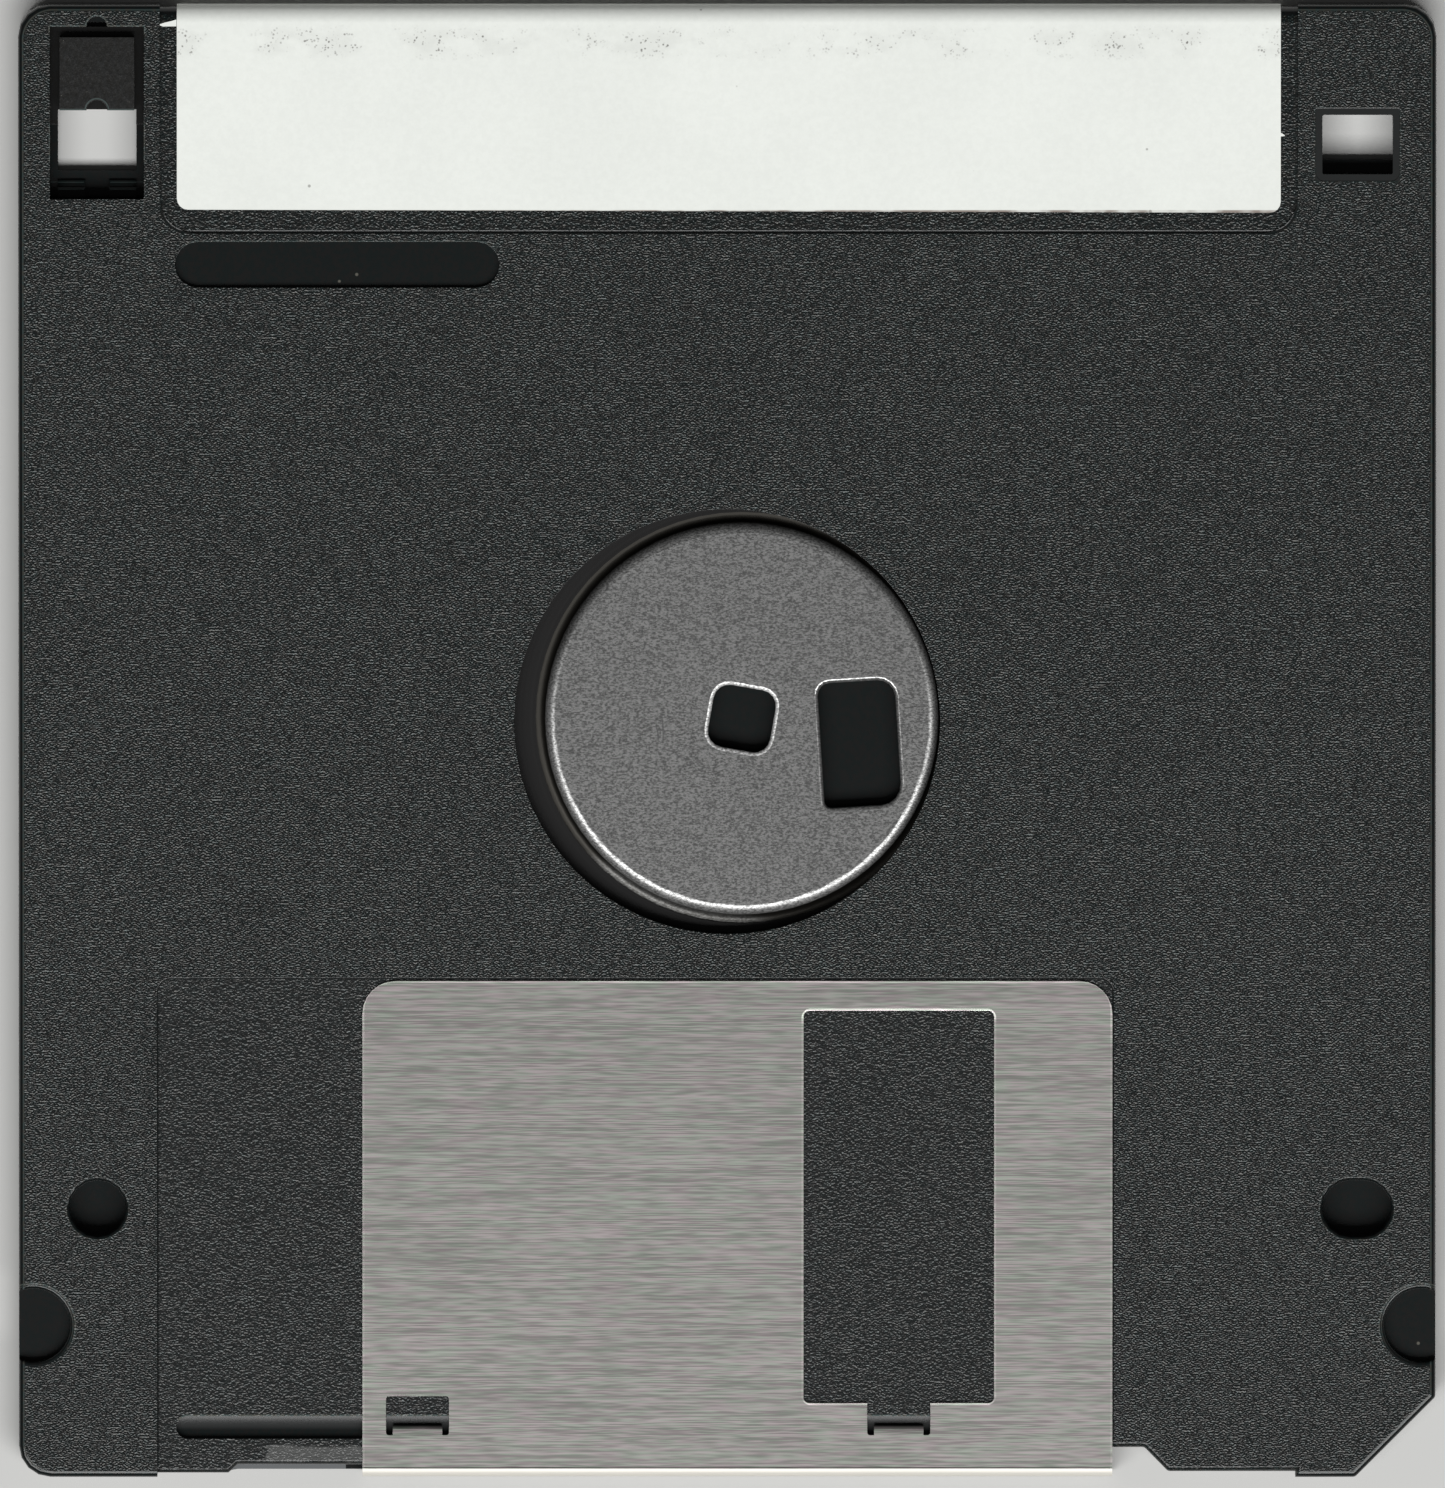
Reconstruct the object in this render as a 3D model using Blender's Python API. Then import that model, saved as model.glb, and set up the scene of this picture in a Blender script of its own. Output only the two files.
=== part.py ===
"""A 3.5-inch floppy disk cartridge, lying on its label side with the hub side up and the shutter closed.

+X runs to the right as the hub side is looked at, +Y to the label end and +Z up. The origin is below the
middle of the case, on the surface that it lies on.
"""

import math

import bmesh
import bpy
from mathutils import Vector

MM = 0.001

# Film and hub
FILM_RADIUS = 42.9 * MM
FILM_THICKNESS = 0.08 * MM
FILM_HOLE_MARGIN = 0.16 * MM
HUB_RADIUS = 12.5 * MM
HUB_SHEET = 0.3 * MM
HUB_ROLL = 0.65 * MM
HUB_WALL = 0.05 * MM
HUB_FLANGE_WIDTH = 2.25 * MM
HUB_RISE = 1.44 * MM
ADHESIVE_THICKNESS = 0.05 * MM
ADHESIVE_MARGIN = 0.25 * MM
ADHESIVE_WIDTH = 1.2 * MM
DRIVE_HOLE_SIDE = 4.0 * MM
DRIVE_HOLE_CORNER = 1.0 * MM
DRIVE_SLOT_WIDTH = 4.9 * MM
DRIVE_SLOT_LENGTH = 7.95 * MM
DRIVE_SLOT_OUT = 7.47 * MM
DRIVE_SLOT_ASIDE = 1.6 * MM
DRIVE_SLOT_CORNERS = (0.45 * MM, 1.3 * MM, 1.1 * MM, 0.75 * MM)
DRIVE_RIM = 0.25 * MM
DRIVE_HOLE_TURN = math.radians(-10.0)
DRIVE_SLOT_TURN = math.radians(3.5)

# How far the hub can shift in its hole, and where it lies now
HUB_PLAY = 1.03 * MM
HUB_RIM_GAP = 0.09 * MM
HUB_REST_ANGLE = math.radians(8.6)

# Liners and lifter
LINER_THICKNESS = 0.2 * MM
LINER_MARGIN = 1.2 * MM
LINER_HUB_MARGIN = 1.75 * MM
LIFTER_LENGTH = 24.0 * MM
LIFTER_WIDTH = 9.0 * MM
LIFTER_THICKNESS = 0.12 * MM
LIFTER_BEND = 0.1 * MM
LIFTER_POCKET = 0.26 * MM
LIFTER_MARGIN = 0.5 * MM
LIFTER_FROM_FILM_EDGE = 13.9 * MM
LIFTER_ABOVE_HUB = -0.3 * MM

# Case
LABEL_SIDE_WALL = 1.0 * MM
HUB_SIDE_WALL = 1.0 * MM
CHAMBER_HEIGHT = 1.3 * MM
CHAMBER_GAP = 0.07 * MM
CHAMBER_RIB = 0.8 * MM
SIDE_WALL = 1.0 * MM
END_WALL = 1.57 * MM
SHUTTER_RAIL = 4.13 * MM
CORNER_WALL = 1.3 * MM
SIDE_HOLLOW_ANGLE = math.radians(21.0)
LABEL_END_HOLLOW_ANGLE = math.radians(72.0)
SHUTTER_END_HOLLOW_LEFT = math.radians(246.0)
SHUTTER_END_HOLLOW_RIGHT = math.radians(300.0)
CORNER_RADIUS = 2.0 * MM
CUT_CORNER = 5.1 * MM
EDGE_ROUND = 0.35 * MM
PARTING_GAP = 0.02 * MM
SEAT_GAP = 0.02 * MM

# Holes and recesses of the case
HUB_RIM_WIDTH = 1.6 * MM
HUB_RIM_DEPTH = 0.2 * MM
LOCATING_FROM_SIDE = 5.0 * MM
LOCATING_FROM_END = 17.13 * MM
LOCATING_RADIUS = 1.8 * MM
LOCATING_OBROUND = 0.8 * MM
LOCATING_WALL = 1.0 * MM
HOLE_ROUND = 0.22 * MM
SENSOR_HOLE_FROM_SIDE = 5.0 * MM
SENSOR_HOLE_FROM_TOP = 8.87 * MM
SENSOR_HOLE_WIDTH = 4.47 * MM
SENSOR_HOLE_HEIGHT = 3.78 * MM
SENSOR_HOLE_CORNER = 0.12 * MM
SENSOR_HOLE_LEDGE = 0.8 * MM
SENSOR_HOLE_WALL = 0.8 * MM
SENSOR_RING = 0.44 * MM
SENSOR_RING_DEPTH = 0.12 * MM
POCKET_RADIUS = 2.35 * MM
POCKET_FROM_SIDE = 0.9 * MM
POCKET_FROM_END = 9.68 * MM
POCKET_DEPTH = 1.1 * MM
POCKET_WALL = 0.9 * MM
PILL_LENGTH = 20.6 * MM
PILL_WIDTH = 2.92 * MM
PILL_DEPTH = 0.5 * MM
PILL_PAST_LABEL = 0.13 * MM
PILL_FROM_TOP = 16.5 * MM
HEAD_WINDOW_WIDTH = 9.0 * MM
HEAD_WINDOW_PAST_HUB_HOLE = 5.67 * MM
HEAD_WINDOW_INSIDE_FILM = 0.3 * MM
HEAD_WINDOW_CORNER = 0.5 * MM

# Shutter
SHUTTER_SHEET = 0.2 * MM
SHUTTER_STRIP = 7.52 * MM
SHUTTER_TOP_STRIP = 1.89 * MM
SHUTTER_RAIL_WIDTH = 8.79 * MM
SHUTTER_FOLD = 0.55 * MM
SHUTTER_CORNER = 2.1 * MM
SHUTTER_TRAVEL = 12.5 * MM
SHUTTER_OPENING = 10.9 * MM
SHUTTER_BELOW = 0.02 * MM
SHUTTER_RECESS = 0.25 * MM
SHUTTER_END_GAP = 0.07 * MM
SHUTTER_STOP_GAP = 0.53 * MM
SHUTTER_TOP_GAP = 0.19 * MM
SHUTTER_WINDOW_SIDE = 1.55 * MM
SHUTTER_WINDOW_END = 0.8 * MM
SHUTTER_WINDOW_CORNER = 0.35 * MM
CUTOUT_WIDTH = 4.0 * MM
CUTOUT_LENGTH = 2.49 * MM
CUTOUT_FROM_FOLD = 2.66 * MM
CUTOUT_FROM_SIDE = 3.5 * MM
LUG_WIDTH = 3.15 * MM
LUG_DEPTH = 0.38 * MM
LUG_BEND = 0.22 * MM
LUG_ROOT = 0.3 * MM
GROOVE_WIDTH = 1.43 * MM
GROOVE_DEPTH = 0.5 * MM
GROOVE_FROM_END = 3.155 * MM
GROOVE_FROM_RECESS = 1.21 * MM
GROOVE_PAST_LUG = 2.02 * MM
HOOK_FROM_SIDE = 2.2 * MM
HOOK_HEIGHT = 0.9 * MM
HOOK_REACH = 1.6 * MM
HOOK_GAP = 0.1 * MM

# Lower end of the case, where the shutter runs
FOLD_STEP = 0.26 * MM
FOLD_STEP_LENGTH = 4.51 * MM
FOLD_SLOPE = 0.6 * MM
HUB_SIDE_TRACK = 0.79 * MM
LABEL_SIDE_TRACK = 0.36 * MM
TRACK_ROUND = 0.3 * MM
LEVER_NOTCH = 1.9 * MM
LEVER_NOTCH_WIDTH = 16.0 * MM
LEVER_NOTCH_PAST_SHUTTER = 1.96 * MM
LEVER_SLOPE = 1.5 * MM
END_STEP = 0.37 * MM
END_STEP_FROM_SIDE = 8.9 * MM
END_CORNER_ROUND = 0.3 * MM

# Label
LABEL_FROM_SIDE = 9.975 * MM
LABEL_X = 0.1 * MM
LABEL_SHEET = 0.1 * MM
LABEL_BACK = 13.1 * MM
LABEL_TO_SHUTTER = 8.08 * MM
LABEL_CORNER = 0.7 * MM
LABEL_SKEW = 0.1 * MM
LABEL_BEND = 1.0 * MM
LABEL_RECESS = 0.15 * MM
LABEL_SIDE_MARGIN = 1.08 * MM
LABEL_BACK_MARGIN = 1.4 * MM
LABEL_FRONT_MARGIN = 3.0 * MM
LABEL_RECESS_CORNER = 2.3 * MM

# Write-protect slide
TAB_WINDOW_WIDTH = 5.96 * MM
TAB_WINDOW_TOP = 1.37 * MM
TAB_WINDOW_LENGTH = 10.97 * MM
TAB_NOTCH = 0.66 * MM
TAB_WIDTH = 4.74 * MM
TAB_LENGTH = 4.65 * MM
TAB_FROM_WINDOW = 0.69 * MM
TAB_BELOW = 0.25 * MM
TAB_PLATE_SIDE = 0.42 * MM
TAB_PLATE_THICKNESS = 0.9 * MM
TAB_PLATE_TOP = 0.08 * MM
TAB_ARM = 0.94 * MM
TAB_SLIDE_GAP = 0.1 * MM
TAB_TRAVEL = 4.2 * MM
SENSE_HOLE_WIDTH = 4.98 * MM
SENSE_HOLE_FROM_TOP = 6.45 * MM
SENSE_HOLE_LENGTH = 4.2 * MM
LEDGE_STEP = 0.3 * MM
TAB_STOP_GAP = 0.33 * MM
LEDGE_TREAD = 0.43 * MM
LEDGE_NOTCH = 1.52 * MM

# Weld pins that join the two half shells
PIN_RADIUS = 0.8 * MM
PIN_LENGTH = 0.45 * MM
PIN_GAP = 0.05 * MM
PIN_BOSS = 1.6 * MM
PIN_FROM_SIDE = 14.0 * MM
PIN_FROM_TOP = 5.0 * MM
SIDE_PIN_FROM_SIDE = 3.6 * MM
SIDE_PIN_ABOVE_LOCATING = 5.6 * MM
END_PIN_FROM_SIDE = 12.0 * MM
END_PIN_FROM_END = 4.2 * MM

# Shutter spring
SPRING_WIRE = 0.3 * MM
SPRING_COIL_RADIUS = 1.6 * MM
SPRING_PITCH = 0.33 * MM
SPRING_TURNS = 2
SPRING_RISE = 4.0 * MM
SPRING_SEAT_GAP = 0.05 * MM
SPRING_SEAT_FROM_END = 3.6 * MM
SPRING_STEPS = 16
SLOT_MARGIN = 0.9 * MM
SLOT_HEIGHT = 1.1 * MM

# Roundness of the parts that show, of those that don't, and of small fillets
RIM_STEPS = 72
HIDDEN_STEPS = 60
FILLET_STEP = math.radians(22.5)
ROLL_STEP = FILLET_STEP / 2

# What follows from the sizes above
CASE_THICKNESS = LABEL_SIDE_WALL + CHAMBER_HEIGHT + HUB_SIDE_WALL
CEILING = CASE_THICKNESS - HUB_SIDE_WALL
PARTING = LABEL_SIDE_WALL + CHAMBER_HEIGHT / 2
CHAMBER_RADIUS = FILM_RADIUS + HUB_PLAY + CHAMBER_GAP
HALF_WIDTH = CHAMBER_RADIUS + SIDE_WALL
TOP = CHAMBER_RADIUS + (END_WALL + SHUTTER_RAIL) / 2
END = -TOP
HOLE_Y = TOP - END_WALL - CHAMBER_RADIUS
HUB_HOLE_RADIUS = HUB_RADIUS + HUB_PLAY
HUB_X = (HUB_PLAY - HUB_RIM_GAP) * math.cos(HUB_REST_ANGLE)
HUB_Y = HOLE_Y + (HUB_PLAY - HUB_RIM_GAP) * math.sin(HUB_REST_ANGLE)
HUB_FLANGE_RADIUS = HUB_RADIUS + HUB_FLANGE_WIDTH
ADHESIVE_RADIUS = HUB_FLANGE_RADIUS - ADHESIVE_MARGIN
FLANGE_LOW = LABEL_SIDE_WALL + SEAT_GAP + LINER_THICKNESS + SEAT_GAP
FLANGE_HIGH = FLANGE_LOW + HUB_SHEET
ADHESIVE_LOW = FLANGE_HIGH + SEAT_GAP
FILM_LOW = ADHESIVE_LOW + ADHESIVE_THICKNESS + SEAT_GAP
FILM_HIGH = FILM_LOW + FILM_THICKNESS
HUB_FACE = FLANGE_LOW + HUB_RISE
HUB_BEND = HUB_FACE - FLANGE_HIGH - HUB_ROLL - HUB_WALL
FILM_HOLE_RADIUS = HUB_RADIUS + HUB_BEND + FILM_HOLE_MARGIN
LOCATING_X = HALF_WIDTH - LOCATING_FROM_SIDE
LOCATING_Y = END + LOCATING_FROM_END
SENSOR_HOLE_X = HALF_WIDTH - SENSOR_HOLE_FROM_SIDE
POCKET_X = HALF_WIDTH - POCKET_FROM_SIDE
POCKET_Y = END + POCKET_FROM_END
HEAD_WINDOW_NEAR = HUB_HOLE_RADIUS + HEAD_WINDOW_PAST_HUB_HOLE
HEAD_WINDOW_FAR = FILM_RADIUS - HEAD_WINDOW_INSIDE_FILM
HEAD_WINDOW_LENGTH = HEAD_WINDOW_FAR - HEAD_WINDOW_NEAR
HEAD_WINDOW_Y = HOLE_Y - (HEAD_WINDOW_FAR + HEAD_WINDOW_NEAR) / 2
SHUTTER_WINDOW_WIDTH = HEAD_WINDOW_WIDTH + 2 * SHUTTER_WINDOW_SIDE
SHUTTER_WINDOW_LENGTH = HEAD_WINDOW_LENGTH + 2 * SHUTTER_WINDOW_END
SHUTTER_RIGHT = SHUTTER_OPENING + SHUTTER_WINDOW_WIDTH / 2 + SHUTTER_STRIP
SHUTTER_FOLD_Y = END + SHUTTER_BELOW
SHUTTER_TOP = HEAD_WINDOW_Y + SHUTTER_WINDOW_LENGTH / 2 + SHUTTER_TOP_STRIP
SHUTTER_LENGTH = SHUTTER_TOP - SHUTTER_FOLD_Y
RECESS_LEFT = SHUTTER_RAIL_WIDTH - HALF_WIDTH
RECESS_RIGHT = SHUTTER_RIGHT + SHUTTER_END_GAP
RECESS_TOP = SHUTTER_TOP + SHUTTER_TOP_GAP
SHUTTER_LEFT = RECESS_LEFT + SHUTTER_STOP_GAP + SHUTTER_TRAVEL
SHUTTER_X = (SHUTTER_LEFT + SHUTTER_RIGHT) / 2
SHUTTER_HALF = (SHUTTER_RIGHT - SHUTTER_LEFT) / 2
LEVER_NOTCH_RIGHT = RECESS_RIGHT + LEVER_NOTCH_PAST_SHUTTER
LEVER_NOTCH_LEFT = LEVER_NOTCH_RIGHT - LEVER_NOTCH_WIDTH
FOLD_STEP_RIGHT = RECESS_LEFT + FOLD_STEP_LENGTH
END_STEP_RIGHT = HALF_WIDTH - END_STEP_FROM_SIDE
GROOVE_Y = END + GROOVE_FROM_END
GROOVE_LEFT = RECESS_LEFT + GROOVE_FROM_RECESS
GROOVE_RIGHT = SHUTTER_OPENING + LUG_WIDTH / 2 + GROOVE_PAST_LUG
LABEL_WIDTH = 2 * (HALF_WIDTH - LABEL_FROM_SIDE)
LABEL_FRONT_Y = SHUTTER_TOP + LABEL_TO_SHUTTER
PILL_X = LABEL_X - LABEL_WIDTH / 2 - PILL_PAST_LABEL + PILL_LENGTH / 2
LIFTER_X = LIFTER_FROM_FILM_EDGE - FILM_RADIUS
LIFTER_Y = HOLE_Y + LIFTER_ABOVE_HUB
WINDOW_TOP_Y = TOP - TAB_WINDOW_TOP
WINDOW_END_Y = WINDOW_TOP_Y - TAB_WINDOW_LENGTH
TAB_TOP_Y = WINDOW_TOP_Y - TAB_FROM_WINDOW
TAB_LOW_Y = TAB_TOP_Y - TAB_LENGTH
TAB_PLATE_HALF = TAB_WINDOW_WIDTH / 2 + TAB_PLATE_SIDE
TAB_ROOM_TOP = WINDOW_TOP_Y + 2 * TAB_SLIDE_GAP
TAB_ROOM_LOW = WINDOW_END_Y - CORNER_WALL / 2


def material(name, colour, roughness, metallic=0.0):
    """A Principled BSDF material of one colour, roughness and metallic value."""
    made = bpy.data.materials.new(name)
    made.use_nodes = True
    made.diffuse_color = (*colour, 1.0)
    shader = made.node_tree.nodes["Principled BSDF"]
    shader.inputs["Base Color"].default_value = (*colour, 1.0)
    shader.inputs["Roughness"].default_value = roughness
    shader.inputs["Metallic"].default_value = metallic
    return made


def arc(x, y, radius, start, end, step=FILLET_STEP):
    """Points along an arc about (x, y), with both of its ends."""
    count = max(2, math.ceil(abs(end - start) / step - 0.01))
    angles = [start + (end - start) * i / count for i in range(count + 1)]
    return [(x + radius * math.cos(a), y + radius * math.sin(a)) for a in angles]


def circle(x, y, radius, steps):
    """Points round a circle about (x, y)."""
    return arc(x, y, radius, 0.0, 2 * math.pi, 2 * math.pi / steps)[:-1]


def filleted(corners):
    """An outline from its (x, y, radius) corners, where each corner with a radius becomes an arc."""
    points = []
    for i, (x, y, radius) in enumerate(corners):
        here = Vector((x, y))
        if radius == 0:
            points.append((x, y))
            continue
        before = (Vector(corners[i - 1][:2]) - here).normalized()
        after = (Vector(corners[(i + 1) % len(corners)][:2]) - here).normalized()
        half = before.angle(after) / 2
        centre = here + (before + after).normalized() * radius / math.sin(half)
        first = here + before * radius / math.tan(half) - centre
        last = here + after * radius / math.tan(half) - centre
        start = math.atan2(first.y, first.x)
        turn = math.remainder(math.atan2(last.y, last.x) - start, 2 * math.pi)
        points += arc(centre.x, centre.y, radius, start, start + turn)
    return points


def rounded_box(x, y, width, height, radii, turn=0.0, grow=0.0):
    """A rectangle with rounded corners, turned about its centre and grown on all sides."""
    half_x = width / 2 + grow
    half_y = height / 2 + grow
    signs = ((-1, -1), (1, -1), (1, 1), (-1, 1))
    outline = filleted([(sx * half_x, sy * half_y, r + grow) for (sx, sy), r in zip(signs, radii)])
    c, s = math.cos(turn), math.sin(turn)
    return [(x + px * c - py * s, y + px * s + py * c) for px, py in outline]


def capsule(x, y, length, width, grow=0.0):
    """A slot along X with round ends."""
    radius = width / 2 + grow
    reach = (length - width) / 2
    right = arc(x + reach, y, radius, -math.pi / 2, math.pi / 2)
    return right + arc(x - reach, y, radius, math.pi / 2, 3 * math.pi / 2)


def add_ring(bm, outline, place):
    """New vertices along an outline, put in space by place, and the edges that close it."""
    verts = [bm.verts.new(place(u, v)) for u, v in outline]
    return verts, [bm.edges.new((a, b)) for a, b in zip(verts, verts[1:] + verts[:1])]


def add_sections(bm, sections):
    """A closed solid bridged through (outline, height) sections that have the same number of points."""
    rings = [add_ring(bm, outline, lambda x, y, z=z: (x, y, z)) for outline, z in sections]
    for (_, lower), (_, upper) in zip(rings, rings[1:]):
        bmesh.ops.bridge_loops(bm, edges=lower + upper)
    bm.faces.new(rings[0][0])
    bm.faces.new(rings[-1][0])


def add_prism(bm, outline, low, high):
    """An outline in X and Y, extruded from one height to another."""
    face = bm.faces.new(add_ring(bm, outline, lambda x, y: (x, y, low))[0])
    grown = bmesh.ops.extrude_face_region(bm, geom=[face])["geom"]
    verts = [v for v in grown if isinstance(v, bmesh.types.BMVert)]
    bmesh.ops.translate(bm, vec=(0, 0, high - low), verts=verts)


def add_beam(bm, profile, left, right):
    """A profile in Y and Z, extruded along X."""
    face = bm.faces.new(add_ring(bm, profile, lambda y, z: (left, y, z))[0])
    grown = bmesh.ops.extrude_face_region(bm, geom=[face])["geom"]
    verts = [v for v in grown if isinstance(v, bmesh.types.BMVert)]
    bmesh.ops.translate(bm, vec=(right - left, 0, 0), verts=verts)


def add_turned(bm, profile, steps):
    """A closed (radius, height) profile turned round the Z axis. Points on the axis become poles."""
    _, edges = add_ring(bm, profile, lambda r, z: (r, 0, z))
    on_axis = [e for e in edges if all(v.co.x == 0 for v in e.verts)]
    bmesh.ops.delete(bm, geom=on_axis, context="EDGES_FACES")
    spun = [e for e in edges if e.is_valid]
    bmesh.ops.spin(bm, geom=spun, axis=(0, 0, 1), angle=2 * math.pi, steps=steps, use_merge=True)
    bmesh.ops.remove_doubles(bm, verts=bm.verts, dist=1e-7)


def u_profile(fold_y, low, high, low_end, high_end, radius, thickness):
    """The section of a sheet folded into a U, between its fold and the ends of its two leaves."""

    def path(inset):
        side = math.copysign(1.0, high_end - fold_y)
        bend = radius - inset
        centre_y = fold_y + side * radius
        lower = arc(0.0, 0.0, bend, -math.pi / 2, 0.0)
        corner_low = [(centre_y - side * y, low + radius + z) for y, z in lower]
        corner_high = [(y, low + high - z) for y, z in reversed(corner_low)]
        return [(low_end, low + inset), *corner_low, *corner_high, (high_end, high - inset)]

    return path(0.0) + path(thickness)[::-1]


def part(name, bm, made_of, parent=None, location=(0, 0, 0)):
    """A new object from a bmesh, with its faces outwards and its round faces shaded smooth."""
    bmesh.ops.recalc_face_normals(bm, faces=bm.faces)
    mesh = bpy.data.meshes.new(name)
    bm.to_mesh(mesh)
    bm.free()
    mesh.shade_smooth()
    mesh.set_sharp_from_angle(angle=math.radians(35))
    obj = bpy.data.objects.new(name, mesh)
    bpy.context.collection.objects.link(obj)
    obj.parent = parent
    obj.location = location
    if made_of:
        mesh.materials.append(made_of)
    return obj


def combine(target, name, bm, operation):
    """Joins a helper solid to a part, or cuts it away. The helper is drawn in that part's own frame."""
    tool = part(name, bm, None, parent=target)
    tool.hide_render = True
    tool.display_type = "WIRE"
    modifier = target.modifiers.new(name, "BOOLEAN")
    modifier.operation = operation
    modifier.solver = "EXACT"
    modifier.object = tool


def round_edges(bm, chosen, radius, segments):
    """Rounds the chosen edges of a bmesh."""
    edges = [e for e in bm.edges if chosen(*(v.co for v in e.verts))]
    bmesh.ops.bevel(
        bm, geom=edges, offset=radius, segments=segments, profile=0.5, affect="EDGES", material=-1
    )


def case_outline():
    """The full-height outline of the case: the recess that the shutter runs in is left out of it."""
    return filleted([
        (-HALF_WIDTH, END, CORNER_RADIUS),
        (RECESS_LEFT, END, 0),
        (RECESS_LEFT, RECESS_TOP, SHUTTER_CORNER),
        (RECESS_RIGHT, RECESS_TOP, 0),
        (RECESS_RIGHT, END + LEVER_NOTCH, 0),
        (LEVER_NOTCH_RIGHT, END + LEVER_NOTCH, END_CORNER_ROUND),
        (LEVER_NOTCH_RIGHT + LEVER_SLOPE, END + END_STEP, END_CORNER_ROUND),
        (END_STEP_RIGHT, END + END_STEP, 0),
        (END_STEP_RIGHT, END, 0),
        (HALF_WIDTH - CUT_CORNER, END, END_CORNER_ROUND),
        (HALF_WIDTH, END + CUT_CORNER, END_CORNER_ROUND),
        (HALF_WIDTH, TOP, CORNER_RADIUS),
        (-HALF_WIDTH, TOP, CORNER_RADIUS),
    ])


def track_outline(track):
    """The thinner tongue between the shutter's leaves, which runs on a little way inside the rest."""
    inside = SIDE_WALL
    return filleted([
        (RECESS_LEFT - inside, END + FOLD_STEP + inside, 0),
        (RECESS_LEFT, END + FOLD_STEP, 0),
        (FOLD_STEP_RIGHT, END + FOLD_STEP, 0),
        (FOLD_STEP_RIGHT + FOLD_SLOPE, END + track, 0),
        (LEVER_NOTCH_LEFT, END + track, 0),
        (LEVER_NOTCH_LEFT + LEVER_SLOPE, END + LEVER_NOTCH, END_CORNER_ROUND),
        (RECESS_RIGHT, END + LEVER_NOTCH, 0),
        (RECESS_RIGHT + inside, END + LEVER_NOTCH + inside, 0),
        (RECESS_RIGHT + inside, RECESS_TOP + inside, 0),
        (RECESS_LEFT - inside, RECESS_TOP + inside, 0),
    ])


def half_shell(name, outer, parting, track, made_of):
    """The blank of one half of the case, from its outer face to the parting plane."""
    side = math.copysign(1.0, outer - parting)
    bm = bmesh.new()
    add_prism(bm, case_outline(), parting, outer)

    def on_rim(a, b):
        at_face = abs(a.z - outer) < EDGE_ROUND / 10 and abs(b.z - outer) < EDGE_ROUND / 10
        in_recess = all(RECESS_LEFT - SEAT_GAP < v.x < RECESS_RIGHT + SEAT_GAP for v in (a, b))
        return at_face and not (in_recess and max(a.y, b.y) > END + EDGE_ROUND)

    round_edges(bm, on_rim, EDGE_ROUND, 3)
    shell = part(name, bm, made_of)

    face = outer - side * SHUTTER_RECESS
    bm = bmesh.new()
    add_prism(bm, track_outline(track), parting + side * PARTING_GAP / 4, face)

    def on_track(a, b):
        at_face = abs(a.z - face) < TRACK_ROUND / 10 and abs(b.z - face) < TRACK_ROUND / 10
        at_end = max(a.y, b.y) < END + LEVER_NOTCH + SIDE_WALL / 4
        return at_face and at_end

    round_edges(bm, on_track, TRACK_ROUND, 3)
    combine(shell, name + "_track", bm, "UNION")
    return shell


def corner_hollow(at_side, at_end, corners):
    """A hollow between the rib round the film chamber and the walls at one corner of the case."""
    radius = CHAMBER_RADIUS + CHAMBER_RIB
    wall = math.copysign(HALF_WIDTH - SIDE_WALL, math.cos(at_side))
    level = HOLE_Y + radius * math.sin(at_side)
    rib = arc(0.0, HOLE_Y, radius, at_end, at_side, 2 * math.pi / HIDDEN_STEPS)
    return rib + [(wall, level)] + corners


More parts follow.
